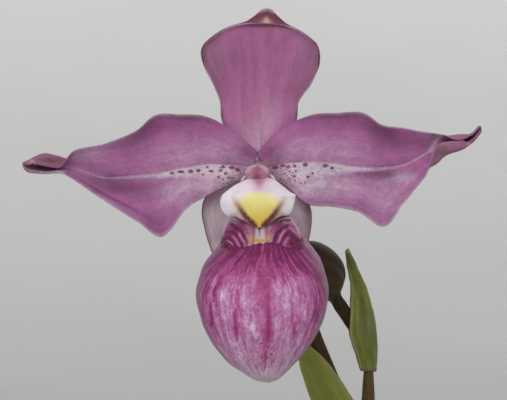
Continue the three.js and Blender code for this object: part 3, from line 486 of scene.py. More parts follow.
class Look:
    """A principled material and short ways to add nodes to it. The name of a shading field
    stands for its value wherever a socket or a number can be given."""

    def __init__(self, name, **values):
        self.material = bpy.data.materials.new(name)
        self.material.use_nodes = True
        self.tree = self.material.node_tree
        self.shader = self.tree.nodes["Principled BSDF"]
        for key, value in values.items():
            self.shader.inputs[key.replace("_", " ")].default_value = value
        self.place = self.scaled(self.put("TexCoord", {}, 3), (1000, 1000, 1000))

    @cached_property
    def flow(self):
        """The coordinates along and across the piece."""
        return self.put("SeparateXYZ", {0: self.put("UVMap", {}, uv_map="flow")}).node.outputs

    def put(self, kind, inputs, output=0, **settings):
        node = self.tree.nodes.new("ShaderNode" + kind)
        for key, value in settings.items():
            setattr(node, key, value)
        for key, value in inputs.items():
            self.feed(node.inputs[key], value)
        return node.outputs[output]

    def feed(self, socket, value):
        if isinstance(value, str):
            value = self.put("Attribute", {}, 2, attribute_name=value)
        if isinstance(value, bpy.types.NodeSocket):
            self.tree.links.new(value, socket)
        else:
            socket.default_value = value

    def scaled(self, vector, factors):
        return self.put("VectorMath", {0: vector, 1: factors}, operation="MULTIPLY")

    def joined(self, x, y, z=0.0):
        return self.put("CombineXYZ", {0: x, 1: y, 2: z})

    def math(self, operation, a, b=0.0, c=0.0):
        return self.put("Math", {0: a, 1: b, 2: c}, operation=operation)

    def times(self, a, b):
        return self.math("MULTIPLY", a, b)

    def total(self, start, *parts):
        """A start and the parts, each given with its share, added up."""
        for part, share in parts:
            start = self.math("MULTIPLY_ADD", part, share, start)
        return start

    def noise(self, vector, scale, detail, roughness=0.5, distortion=0.0):
        inputs = {"Vector": vector, "Scale": scale, "Detail": detail, "Roughness": roughness,
                  "Distortion": distortion}
        return self.put("TexNoise", inputs)

    def strands(self, lengthwise, crosswise, *kind):
        """Noise by its features in a millimetre along the piece and in its whole width."""
        vector = self.joined(self.times(self.flow[0], lengthwise),
                             self.times(self.flow[1], crosswise))
        return self.noise(vector, 1.0, *kind)

    def cells(self, vector, scale, feature="F1"):
        return self.put("TexVoronoi", {"Vector": vector, "Scale": scale}, feature=feature)

    def ramp(self, value, *stops):
        """Greys or colours at rising positions: pairs of a position and a value or colour."""
        node = self.put("ValToRGB", {0: value}).node
        elements = node.color_ramp.elements
        while len(elements) < len(stops):
            elements.new(0.5)
        for element, (position, colour) in zip(elements, stops):
            element.position = position
            element.color = (colour,) * 3 + (1.0,) if np.isscalar(colour) else linear(*colour)
        return node.outputs[0]

    def behind(self):
        """1 on the back of a blade."""
        return self.ramp("back", (0.6, 0.0), (0.9, 1.0))

    def blend(self, factor, a, b, how="MIX"):
        inputs = {0: factor, 6: a, 7: b}
        return self.put("Mix", inputs, 2, data_type="RGBA", blend_type=how, clamp_result=True)

    def shaded(self, colour, shade):
        return self.blend(1.0, colour, shade, "MULTIPLY")

    def layers(self, colour, *coats):
        """Colours laid one over another, each with its mask before it."""
        for mask, coat in coats:
            colour = self.blend(mask, colour, linear(*coat))
        return colour

    def finish(self, colour, roughness, height=None, distance=0.0):
        """Ends the material; height is in units of distance, in millimetres."""
        self.feed(self.shader.inputs["Base Color"], colour)
        self.feed(self.shader.inputs["Roughness"], roughness)
        if height is not None:
            bump = self.put("Bump", {"Height": height, "Distance": distance / 1000, "Strength": 1.0})
            self.feed(self.shader.inputs["Normal"], bump)
        return self.material


def lines(look, count, wander=0.4, width=0.34):
    """Fine parallel veins: 1 on a vein and 0 between, with gaps where a vein fades out."""
    drift = look.noise(look.joined(look.flow[0], look.times(look.flow[1], 6)), 0.05, 2)
    saw = look.math("PINGPONG", look.total(0.0, (look.flow[1], count), (drift, wander * 4)), 0.5)
    line = look.ramp(saw, (0.0, 1.0), (width / 2, 0.25), (width, 0.0))
    fade = look.noise(look.joined(look.flow[0], look.times(look.flow[1], 60)), 0.16, 2)
    return look.times(line, look.ramp(fade, (0.35, 0.1), (0.62, 1.0)))


def tissue(name, base, deep, pale, grey, spot, veins, vein_depth, mottle, back,
           hair=(190, 170, 180), crimson=(118, 52, 72), **values):
    """Petal and sepal skin: fields choose the tint, veins and mottling run over it."""
    look = Look(name, Sheen_Roughness=0.4, Specular_IOR_Level=0.25, **values)
    clouds = look.noise(look.place, 0.2, 4, 0.6)
    grain = look.noise(look.place, 1.3, 4, 0.65)
    blotch = look.noise(look.place, 0.55, 4, 0.65)
    wash = look.times("pale", look.ramp(blotch, (0.36, 0.6), (0.6, 1.15)))
    colour = look.blend("deep", linear(*base), linear(*deep))
    colour = look.layers(colour, ("grey", grey), (wash, pale))
    vein = lines(look, veins)
    web = look.joined(look.times(look.flow[0], 0.75), look.times(look.flow[1], 1.6 * veins),
                      look.noise(look.place, 0.7, 2))
    web = look.ramp(look.cells(web, 1.0, "DISTANCE_TO_EDGE"), (0.0, 1.0), (0.1, 0.55), (0.34, 0.0))
    dark = look.total(0.0, (vein, vein_depth), (web, 0.5 * mottle))
    bands = look.ramp(look.strands(0.035, 11, 3, 0.5, 0.3), (0.4, 0.12), (0.6, 0.0))
    bright = look.total(1.03, (look.times(dark, look.total(1.0, (wash, -0.7))), -1), (bands, -1))
    fibre = look.strands(0.5, 55, 3, 0.6)
    tone = look.total(0.0, (clouds, 0.4), (grain, 0.25), (fibre, 0.35))
    shade = look.ramp(tone, (0.4, 1 - mottle), (0.5, 1 - mottle * 0.4), (0.6, 1.0))
    colour = look.shaded(look.shaded(colour, bright), shade)
    dots = look.ramp(look.total(-0.35, ("spot", 1), (grain, 0.7)), (0.36, 0.0), (0.62, 0.85))
    colour = look.layers(colour, (dots, spot))
    outside = look.blend("crimson", linear(*back), linear(*crimson))
    outside = look.shaded(outside, look.shaded(bright, shade))
    colour = look.blend(look.behind(), colour, outside)
    colour = look.layers(colour, ("hair", hair), ("cream", (214, 178, 158)))
    height = look.total(0.0, (grain, 0.6), (vein, -0.4), (web, -0.35))
    return look.finish(colour, look.ramp(clouds, (0.3, 0.5), (0.7, 0.64)), height, 0.08)


def add(name, mesh, material):
    """Puts a mesh into the scene under a name, with its material."""
    mesh.materials.append(material)
    made = bpy.data.objects.new(name, mesh)
    bpy.context.scene.collection.objects.link(made)
    return made


def piece(node, shell, material, offset=(0, 0, 0)):
    """Makes the object for a shell, dresses it and lets it stand for its CAD node."""
    points = shell.points + np.asarray(offset)
    mesh = bpy.data.meshes.new(node + "_detail")
    sizes = np.concatenate([np.full(len(f), f.shape[1]) for f in shell.faces])
    corners = np.concatenate([f.ravel() for f in shell.faces])
    mesh.vertices.add(len(points))
    mesh.vertices.foreach_set("co", (points / 1000).astype(np.float32).ravel())
    mesh.loops.add(len(corners))
    mesh.loops.foreach_set("vertex_index", corners.astype(np.int32))
    mesh.polygons.add(len(sizes))
    starts = np.concatenate([[0], np.cumsum(sizes)[:-1]])
    mesh.polygons.foreach_set("loop_start", starts.astype(np.int32))
    mesh.polygons.foreach_set("use_smooth", np.ones(len(sizes), bool))
    mesh.update(calc_edges=True)
    flow = np.concatenate([c.reshape(-1, 2) for c in shell.flow])
    mesh.uv_layers.new(name="flow").data.foreach_set("uv", flow.astype(np.float32).ravel())
    for name, values in shell.fields.items():
        attribute = mesh.attributes.new(name, "FLOAT", "POINT")
        attribute.data.foreach_set("value", values.astype(np.float32))
    made = add(node + "_detail", mesh, material)
    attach(made, "root")
    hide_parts(node)
    return made


# Petals
# Spots under the crease near the flower's centre: x, z, half length, half height.
LEFT_SPOTS = [
    (-29.0, -2.7, 0.75, 0.45), (-26.0, -2.2, 1.2, 0.5), (-22.8, -2.1, 0.75, 0.65),
    (-20.3, -1.85, 0.7, 0.6), (-17.5, -0.7, 0.4, 0.4), (-16.1, -2.1, 0.85, 0.45),
    (-18.8, -3.2, 0.4, 0.4), (-12.3, -0.7, 0.6, 0.6), (-12.9, -1.9, 0.5, 0.5),
    (-11.4, -2.8, 0.55, 0.35), (-9.4, -1.0, 1.0, 0.55), (-7.5, -1.7, 0.8, 0.7),
    (-13.7, -4.1, 0.45, 0.45), (-12.1, -4.9, 0.35, 0.35), (-10.2, -4.3, 0.45, 0.35),
]
RIGHT_SPOTS = [
    (5.2, -0.9, 1.2, 0.6), (7.7, -0.4, 0.9, 0.5), (9.4, -0.75, 0.5, 0.55), (11.5, -0.5, 0.55, 0.55),
    (11.8, -2.1, 0.4, 0.4), (15.0, 0.1, 0.85, 0.7), (21.5, -0.2, 1.05, 0.6), (23.7, -1.0, 0.6, 0.5),
    (17.4, -2.8, 0.45, 0.45), (15.8, -4.0, 0.55, 0.5), (11.3, -3.8, 0.45, 0.4),
    (14.8, -5.9, 0.35, 0.35),
]
# Height of the whitish band under the crease by distance from the flower's centre.
LEFT_BAND = ([3, 12, 18, 24, 30, 36, 46, 62], [7, 7.2, 5.8, 4.0, 2.2, 1.3, 0.8, 0.1])
RIGHT_BAND = ([3, 12, 20, 26, 32, 40, 52, 62], [7, 8.2, 6.6, 3.6, 1.7, 1.0, 0.5, 0.1])
# Small spots, scattered by seed: how many, then the spans of their place, size and strength.
SMALL_SPOTS = [
    (44, (4.5, 14), (0.6, 6.5), (0.2, 0.5), (0.16, 0.34), (0.45, 0.85)),
    (70, (4, 12), (0.2, 9), (0.14, 0.4), (0.12, 0.24), (0.3, 0.6)),
]
# Where each petal's margins roll in and open again towards the tip: start, span, amount.
# Then its soft patches, as for blobs, and its lines, as for strokes; some deep and grey patches are
# painted shade, the dark lines painted shade and the pale lines painted light.
LEFT_MARKS = {
    "top": (62, 5, 1.0), "low": (64, 6, 0.25), "open": (80, 1, 0), "hem": 1.0,
    # Deep patches: the one at the foot beside the column, those just under the crease and the one in
    # the tip's hollow are painted shade; those by the upper and outer margins are partly painted
    # shade; the rest are deeper colour.
    "deep": [(-4, 3, 5, 5, 0.55), (-22, 18, 14, 3.2, 0.5), (-40, 12.5, 8, 5, 0.65),
             (-46, 1, 9, 4, 0.2), (-71, 2, 6, 2, 0.25), (-44, -8, 9, 2.6, 0.7),
             (-34, -20, 6, 5, 0.45), (-20, -12, 5, 2.5, 0.3), (-72, -1, 7, 1.6, 0.5),
             (-50, -5, 5, 2.5, 0.4), (-43, 6, 8, 3, 0.3)],
    "pale": [(-23, -7, 8, 4, 0.45), (-28, -11, 6, 4, 0.25), (-12, 6, 8, 4, 0.12),
             (-13, -6, 6, 3, 0.5), (-37, -4, 6, 1.5, 0.25), (-58, 4, 7, 3, 0.2)],
    # The grey patch beside the column is partly painted shade where the petal meets it; the others
    # are grey tints.
    "grey": [(-60, 3, 6, 5, 0.5), (-54, -5, 5, 4, 0.4), (-7, -6, 4, 2.4, 0.5),
             (-46, 8, 10, 4, 0.25)],
    "olive": [(-69, 1.5, 4.6, 1.1, 0.95)], "cream": [(-74.6, 0.4, 0.7, 0.8, 1.2)],
    # Painted shade: a dark line in the slit between the rolled upper margin and the lower lobe.
    "painted_shade_lines": [(0.35, 1.0, (-72.8, -0.1), (-69, -1.0), (-64.8, -2.0))],
    # Painted light: a highlight along the crease's ridge, and the lit lip of the lower lobe at the
    # tip.
    "painted_light_lines": [(0.8, 0.15, (-64, -0.6), (-58, -2.6), (-52, -3.7)),
                   (0.8, 0.6, (-77, -1.0), (-74.4, -2.4), (-70, -2.7), (-65, -2.4))],
}
RIGHT_MARKS = {
    "top": (61, 5, 1.0), "low": (55, 5, 1.1), "open": (66.5, 3, 0.6), "hem": 0.12,
    # Deep patches: the one at the foot beside the column, the one just under the crease and the one
    # in the tip's hollows are painted shade; those by the upper and outer margins are partly painted
    # shade; the rest are deeper colour.
    "deep": [(4, 3, 5, 5, 0.55), (22, 18.5, 14, 3.2, 0.45), (42, 13.5, 9, 5, 0.65),
             (40, -3.4, 7, 1.7, 0.85), (30, -15, 6, 2, 0.3), (43, 7, 8, 4, 0.5),
             (68, 9, 5, 1.6, 0.6), (52, 8, 6, 3, 0.4)],
    "pale": [(27, -7, 9, 4, 0.45), (47, -4.5, 4.5, 2.2, 0.5), (15, -7, 7, 4, 0.7),
             (14, 6, 8, 4, 0.12), (42, -12, 7, 6, 0.3)],
    # The grey patch beside the column is partly painted shade where the petal meets it; the others
    # are grey tints.
    "grey": [(58, 8, 6, 4, 0.5), (7, -6, 4, 3, 0.5), (22, -12.5, 9, 1.6, 0.3)],
    "olive": [(59.5, 4.2, 4, 2, 0.85), (66, 5, 3, 0.9, 0.4)],
    "cream": [(68.6, 6.9, 0.7, 0.5, 0.9)],
    # Painted shade in the hollows of the twisted tip.
    "painted_shade_lines": [(0.5, 1.0, (67.5, 8.6), (69.6, 9.3)), (0.55, 1.0, (70.8, 9.8), (72.2, 12))],
    # Painted highlights along the crease's ridge and over the twist towards the tip.
    "painted_light_lines": [(0.5, 0.3, (47, -0.2), (52, 2), (56.4, 4.6)),
                   (0.8, 0.5, (56.4, 4.6), (58, 7.6), (59.8, 10))],
}


def petal_spots(x, z, spots, seed):
    """The big spots of the table and the small seeded ones, 1 in the middle of a big one."""
    rng = np.random.default_rng(seed)
    sign = np.sign(spots[0][0])
    small = [[rng.uniform(*span) for span in spans]
             for count, *spans in SMALL_SPOTS for _ in range(count)]
    small = [(sign * out, -down, *size) for out, down, *size in small]
    spot = np.zeros_like(x)
    for cx, cz, rx, rz, depth in [(*place, 1.0) for place in spots] + small:
        spot = np.maximum(spot, depth * np.exp(
            -0.7 * (((x - cx) / rx) ** 2 + ((z - cz) / rz) ** 2)))
    return spot


def petal(rows, spots, band, seed, marks):
    """A petal of two halves, above and below its crease, with hairs on its margins."""
    n, m = 250, 91
    u, v = grid(n, m)
    u = u ** 1.12
    r = along(rows, u)
    upper = v < 0.5
    w = np.where(upper, 2 * v, 2 * v - 1)
    start, end = (np.where(upper[..., None], r[..., k:k + 3], r[..., k + 3:k + 6]) for k in (0, 3))
    points = mix(start, end, w[..., None])
    arch = 4 * w * (1 - w)
    points[..., 1] -= arch * np.where(upper, r[..., 9], r[..., 10])
    # Towards the tip the margins arch forward and come back to the crease.
    out, crease = np.abs(r[..., 3]), r[..., 5]
    top, low, opened = (amount * smooth((out - start) / span) for start, span, amount in (
        marks["top"], marks["low"], marks["open"]))
    roll = np.where(upper, top, low) * (1 - opened)
    fall = np.where(upper, r[..., 2] - crease, crease - r[..., 8])
    points[..., 2] += roll * fall * np.where(
        upper, 0.75 * arch - 0.85 * (1 - w) ** 3, 0.85 * w ** 3 - 0.75 * arch)
    points[..., 1] -= roll * 1.2 * arch
    ease(points)
    x, z = points[..., 0], points[..., 2]
    # Waves of the margins, and the hem along the lower one
    reach, edge = np.abs(x), 1 - np.abs(2 * v - 1)
    open_part = smooth((reach - 8) / 12) * (1 - smooth((reach - 56) / 8))
    wave = np.sin(reach * 0.62 + 2 * v) + 0.6 * np.sin(reach * 1.13 + 1 + 5 * v)
    points[..., 1] += 0.38 * wave * (1 - smooth(edge / 0.5)) * open_part
    points[..., 1] += 0.22 * ripple(points, 9, seed) * smooth(edge / 0.3)
    hem = marks["hem"] * smooth((v - 0.9) / 0.05) * hump(reach, 30, 50, 64)
    # The groove beside the rolled hem is darkened: painted shade in the fold.
    groove = marks["hem"] * hump(v, 0.86, 0.895, 0.93) * hump(reach, 30, 50, 66)
    points[..., 1] -= 1.9 * hem
    # The whitish band under the crease, then the other tints, among them painted shade and painted
    # light
    drop = crease - z
    white = smooth((1.35 - drop / np.interp(reach, *band)) / 0.9) * smooth((drop + 0.25) / 0.5)
    white *= (v >= 0.485) * (0.35 + 0.65 * smooth((reach - 5) / 7))
    white *= 1 - 0.75 * smooth((reach - 28) / 24)
    # Along the margins, rim adds pale, a painted sheen of the lit margin hairs, and grey, the
    # margins' own tint.
    rim = (1 - smooth(edge * 14)) * smooth((reach - 12) / 10)
    line_above = 0.4 * hump(drop, -1.3, -0.4, 0.1) * hump(reach, 28, 42, 60) * upper
    across = np.where(upper, 2 * v, 1.0)
    # The upper half darkens towards its upper margin: partly painted shade, partly its deeper
    # colour.
    deep = blobs(x, z, *marks["deep"]) + 0.55 * (1 - smooth(across / 0.5)) * hump(reach, 6, 24, 58)
    pale = blobs(x, z, *marks["pale"]) + 0.24 * hump(across, 0.35, 0.8, 1.4) * upper * (
        1 - smooth((reach - 26) / 16))
    fields = {
        "deep": deep + line_above + 0.6 * groove + strokes(x, z, *marks["painted_shade_lines"]),
        "pale": np.maximum(white, pale) + 0.4 * rim + 0.16 * hem
        + strokes(x, z, *marks["painted_light_lines"]),
        "grey": blobs(x, z, *marks["grey"]) + 0.35 * rim,
        "crimson": blobs(x, z, *marks["olive"]), "cream": blobs(x, z, *marks["cream"]),
        "spot": petal_spots(x, z, spots, seed) * (v > 0.49),
    }
    half = mix(0.17, 0.42, smooth(edge / 0.3)) + 0.25 * (1 - smooth(reach / 10))
    middle = points[:, m // 2]
    length = np.cumsum([0, *np.linalg.norm(np.diff(middle, axis=0), axis=-1)])
    shell = blade(points, half, stacked(length[:, None], v), FORWARD,
                  **{name: np.clip(field, 0, 1) for name, field in fields.items()})
    twist = (reach > 54) & (reach < 68) & (v > 0.5)
    normals = surface_normals(points)
    normals *= -np.sign(np.sum(normals * FORWARD))
    outside = fur(points[twist] + 0.3 * normals[twist], normals[twist], count=700, length=0.7,
                  thickness=0.05, seed=seed + 9)
    margins = margin_fur(points, count=1500, length=0.7, thickness=0.05, seed=seed + 5)
    return merged([shell, outside, margins])


petal_look = tissue(
    "petal skin", base=(192, 116, 172), deep=(120, 56, 100), pale=(232, 216, 228),
    grey=(112, 80, 104), spot=(118, 26, 76), veins=34, vein_depth=0.08, mottle=0.26,
    back=(184, 118, 158), crimson=(138, 96, 102), Sheen_Weight=0.1,
)
left = petal(LEFT_PETAL, LEFT_SPOTS, LEFT_BAND, seed=31, marks=LEFT_MARKS)
right = petal(RIGHT_PETAL, RIGHT_SPOTS, RIGHT_BAND, seed=47, marks=RIGHT_MARKS)
piece("petal_left", left, petal_look, FLOWER_CENTRE)
piece("petal_right", right, petal_look, FLOWER_CENTRE)


# Sepals
def sepal(rows, n, m, fold):
    """A sepal's points; fold gives the share of each margin that folds forward and in."""
    u, v = grid(n, m)
    s = 2 * v - 1
    w = mix(s, np.sin(s * np.pi / 2), 0.6)
    a = np.abs(w)
    left, right, mid_z, edge_z, mid_y, edge_y, boss = columns(rows, u)
    share = np.where(w < 0, fold(u)[0], fold(u)[1])
    turn = 1 - 1.3 * share
    past = np.clip((a - turn) / np.maximum(1 - turn, 1e-6), 0, 1)
    reach = np.where(a < turn, a / turn, 1 - share * past ** 1.6)
    reach = mix(a, reach, smooth(share / 0.01))
    point = boss * np.exp(-(np.abs(w - BOSS["place"]) / BOSS["width"]) ** 1.85)
    x = np.where(w < 0, -left, right) * reach
    y = mix(mid_y, edge_y, w * w) - 1.3 * np.sin(past * np.pi / 2) * smooth(share / 0.05)
    z = mix(mid_z, edge_z, a ** (2.1 + 0.7 * smooth((u - 0.8) / 0.2))) + point
    points = stacked(x, y, z)
    ease(points)
    return u, w, points


def dorsal_fold(u):
    """Shares of the left and right margin that fold in: a little at the foot and at the hood."""
    low = 0.075 * hump(u, 0.1, 0.2, 0.36)
    return low + 0.038 * hump(u, 0.5, 0.74, 1.02), low + 0.034 * hump(u, 0.42, 0.7, 1.02)


def synsepal_fold(u):
    return (0.03 * hump(u, 0.1, 0.4, 1.0),) * 2


def dorsal_sepal():
    """The upper sepal: a sunken midrib, a hooded top and a hairy boss behind it."""
    u, w, points = sepal(DORSAL_SEPAL, 170, 109, dorsal_fold)
    points[..., 1] += 0.16 * ripple(points, 8, 3)
    x, z = points[..., 0], points[..., 2]
    a = np.abs(w)
    points[..., 1] -= 0.3 * bell(w, 0.03) * (1 - smooth(u / 0.5))
    pale = 0.45 * bell(x + 0.3, 0.3) * (1 - smooth((z - 6) / 8))
    pale += 0.8 * smooth((a - 0.975) / 0.02) * smooth((z - 8) / 8)
    pale += blobs(x, z, (3, 14, 3.5, 8, 0.4), (-3, 10, 5, 6, 0.35), (0, 3, 5, 5, 0.3),
                  (-14, 38, 6, 6, 0.15), (14, 38, 6, 6, 0.08))
    # The hood's top is paled: painted light against the shade under its overhang. The last strip is
    # its pale rim line.
    pale += 0.42 * smooth((u - 0.84) / 0.12) + smooth((u - 0.982) / 0.012)
    deep = blobs(x, z, (-9, 36, 4, 4, 0.25), (-5.4, 22, 1.2, 9, 0.25), (4.4, 24, 1.4, 8, 0.2),
                 (-1.9, 28, 0.9, 8, 0.28), (-8, 37, 2.4, 5, 0.2), (2, 34, 12, 9, 0.1))
    grey = 0.55 * smooth((a - 0.5) / 0.5) * smooth((z - 12) / 20) + blobs(x, z, (5, 20, 2, 9, 0.2))
    crimson = smooth((z - 12) / 30 + 0.1 * np.cos(19 * w)) * (1 - 0.3 * smooth((u - 0.9) / 0.1))
    cream = 0.9 * bell(x - 2.2, 0.3 + 20 * (u - 0.93)) * smooth((u - 0.93) / 0.05) * (u > 0.93)
    half = mix(0.16, 0.4, smooth((1 - a) / 0.3)) * mix(1, 0.75, smooth((u - 0.86) / 0.06))
    shell = blade(
        points, half, stacked(48 * u, w / 2 + 0.5), FORWARD, crimson=crimson,
        deep=np.clip(deep, 0, 1), pale=np.clip(pale, 0, 1), grey=np.clip(grey, 0, 1),
        cream=np.clip(cream, 0, 1),
    )
    normals = surface_normals(points)
    tip = (u > 0.8) & (u < 0.9) & (np.abs(w - BOSS["place"]) < 0.11)
    top = (u > 0.72) & (u < 0.95)
    return merged([
        shell,
        fur(points[tip] + 0.2 * normals[tip], normals[tip], count=900, length=1.0,
            thickness=0.08, seed=8, lean=0.7),
        fur(points[top] + 0.2 * normals[top], normals[top], count=900, length=0.5,
            thickness=0.05, seed=9),
        margin_fur(points, count=900, length=0.55, thickness=0.045, seed=12),
    ])


def synsepal():
    """The joined lower sepals, with low ribs, behind the pouch."""
    u, w, points = sepal(SYNSEPAL, 110, 79, synsepal_fold)
    points[..., 1] += 0.2 * ripple(points, 8, 4)
    a = np.abs(w)
    points[..., 1] += 0.2 * np.cos(7 * np.pi * w) * (1 - a) * smooth(u / 0.3)
    x, z = points[..., 0], points[..., 2]
    shell = blade(
        points, mix(0.18, 0.4, smooth((1 - a) / 0.3)), stacked(52 * u, w / 2 + 0.5),
        FORWARD, deep=0.25 * smooth((a - 0.95) / 0.05) + blobs(x, z, (17, -18, 3, 8, 0.7)),
        pale=0.4 * smooth((a - 0.97) / 0.03), grey=blobs(x, z, (2, -12, 9, 7, 0.4)),
    )
    margins = margin_fur(points, count=700, length=0.55, thickness=0.045, seed=14)
    return merged([shell, margins])


dorsal_look = tissue(
    "dorsal sepal skin", base=(196, 121, 168), deep=(156, 80, 128), pale=(220, 190, 208),
    grey=(152, 108, 136), spot=(110, 40, 80), veins=30, vein_depth=0.06, mottle=0.2,
    back=(146, 122, 136), hair=(236, 226, 230), crimson=(132, 56, 84), Sheen_Weight=0.1,
)
synsepal_look = tissue(
    "lower sepal skin", base=(230, 214, 221), deep=(150, 108, 130), pale=(232, 220, 226),
    grey=(206, 188, 196), spot=(110, 40, 80), veins=26, vein_depth=0.1, mottle=0.16,
    back=(150, 116, 128), Sheen_Weight=0.12,
)
piece("dorsal_sepal", dorsal_sepal(), dorsal_look, FLOWER_CENTRE)
piece("synsepal", synsepal(), synsepal_look, FLOWER_CENTRE)


# Pouch with its side lobes
# Dark and pale bars that run over the side lobes and the rim: half width, strength, path x z.
LOBE_BARS = [
    (0.62, 1.0, (-9.0, -19.8), (-7.7, -20.9), (-6.0, -22.0), (-5.2, -23.6), (-4.2, -25.2)),
    (0.42, 1.0, (-10.6, -22.3), (-9.1, -21.9), (-7.7, -22.7), (-6.7, -24.4), (-5.5, -26.4)),
    (0.42, 1.0, (-11.5, -24.2), (-9.9, -23.8), (-8.5, -24.9), (-7.1, -26.8)),
    (0.45, 1.0, (-12.2, -25.2), (-10.7, -24.6), (-9.4, -25.8), (-8.6, -26.9)),
    (0.5, 1.0, (-12.2, -26.4), (-10.7, -25.9), (-9.7, -27.1)),
    (0.5, 0.9, (9.2, -18.6), (7.6, -18.5), (6.5, -19.3)),
    (0.62, 1.0, (8.6, -20.2), (6.7, -21.4), (5.3, -22.6), (4.5, -24.2), (4.0, -25.4)),
    (0.45, 1.0, (9.4, -21.6), (7.8, -23.0), (6.9, -24.2), (6.2, -25.9)),
    (1.0, 1.0, (9.6, -23.2), (11.0, -24.3), (12.8, -25.8)),
    (0.6, 1.0, (9.2, -25.4), (10.6, -26.2), (12.6, -26.6)),
    (0.3, 0.5, (3.2, -22.6), (4.2, -20.6), (5.6, -18.6)),
    (0.3, 0.5, (-3.6, -23.2), (-4.6, -21.2), (-6.2, -19.2)),
]
LOBE_LIGHTS = [
    (0.27, 0.85, (-6.6, -22.6), (-5.8, -24.0), (-4.6, -25.5)),
    (0.26, 0.6, (-8.5, -23.4), (-7.6, -24.4), (-6.3, -26.3)),
    (0.24, 0.7, (-10.3, -24.7), (-9.1, -25.3), (-8.2, -26.6)),
    (0.32, 0.9, (7.6, -21.6), (6.4, -23.3), (5.6, -25.1)),
    (0.24, 0.8, (8.7, -23.8), (7.8, -25.0), (7.2, -26.2)),
    (0.4, 0.7, (9.3, -21.0), (11.6, -22.8), (13.4, -24.7), (15.3, -26.2)),
]
# Deep blotches of the side lobes: centre x z, reach in x and z, strength.
LOBE_BLOTS = [
    (-7.9, -20.3, 1.5, 1.4, 0.9), (-9.4, -23.1, 1.6, 1.1, 0.8), (-10.7, -25.4, 1.6, 1.1, 0.9),
    (7.2, -20.0, 1.8, 1.4, 0.9), (9.2, -23.3, 1.6, 1.2, 0.8), (11.2, -25.0, 2.2, 1.3, 1.0),
    (-4.6, -24.4, 1.2, 1.4, 0.4), (4.6, -24.2, 1.2, 1.6, 0.4),
]
# Darker and paler places on the front of the pouch: half width, strength, path x z.
POUCH_BARS = [
    (0.85, 0.75, (2.2, -36.5), (2.4, -40.8), (2.6, -49.1), (2.4, -55.0)),
    (0.6, 0.45, (-7.2, -40), (-7.6, -47), (-7.5, -55)),
    (0.65, 0.5, (-12.4, -35.4), (-14.6, -40.2), (-15.4, -44.7), (-15.1, -50.6)),
    (0.5, 0.4, (10.2, -47.6), (10.6, -57)), (0.8, 0.45, (17.3, -42), (17.7, -49.2)),
    (1.1, 0.35, (12.3, -32.2), (19, -36.8)), (1.9, 0.4, (1.6, -34.5), (0.6, -39.5)),
    (0.3, 0.8, (1.6, -59.6), (1.5, -64.2)),
]
POUCH_LIGHTS = [
    (-12, -41.4, 1.1, 1.9, 0.9), (-4.3, -42.9, 1.3, 1.5, 0.8), (-2.8, -50.9, 1.0, 1.7, 1.0),
    (4.4, -50.3, 0.9, 1.9, 1.0), (12, -36.8, 1.2, 1.4, 0.7), (7.3, -43.8, 1.3, 1.8, 0.6),
    (12.6, -46, 1.4, 1.8, 0.5), (-15.2, -37, 1.2, 1.4, 0.5), (-8.6, -37, 1.0, 1.8, 0.5),
    (5.6, -37.6, 0.9, 2.0, 0.5), (-10.4, -47.4, 1.4, 2.2, 0.6), (-17.2, -42, 0.9, 2.0, 0.5),
    (0.9, -26.6, 0.35, 1.5, 1.0), (-1.7, -27.0, 0.3, 1.2, 0.6), (-5.8, -28, 0.4, 1.4, 0.5),
    (3.6, -28, 0.4, 1.5, 0.5),
]
POUCH_GLOW = [(0.6, -37, 3, 6, 0.36), (2.3, -47, 1.5, 9, 0.4), (2.6, -58, 2.2, 4, 0.4)]
POUCH_SPOTS = [
    (3.4, -57.7), (4.4, -58.3), (2.5, -57.2), (0.5, -60.6), (2.4, -60.4), (0.9, -61.8),
    (0.3, -56.0), (3.3, -59.6), (-0.6, -58.8), (1.6, -58.6),
]
# Pale patches of the pouch, as for blobs; the first, round the bottom, is painted light on its
# shaded underside as well as its paler tip.
POUCH_PALE = [
    (1.2, -68.5, 12, 7, 1.5), (-9, -45, 6, 8, 0.4), (9, -43, 6, 8, 0.4),
    (-8, -58, 6, 6, 0.5), (9, -57, 6, 6, 0.6),
]


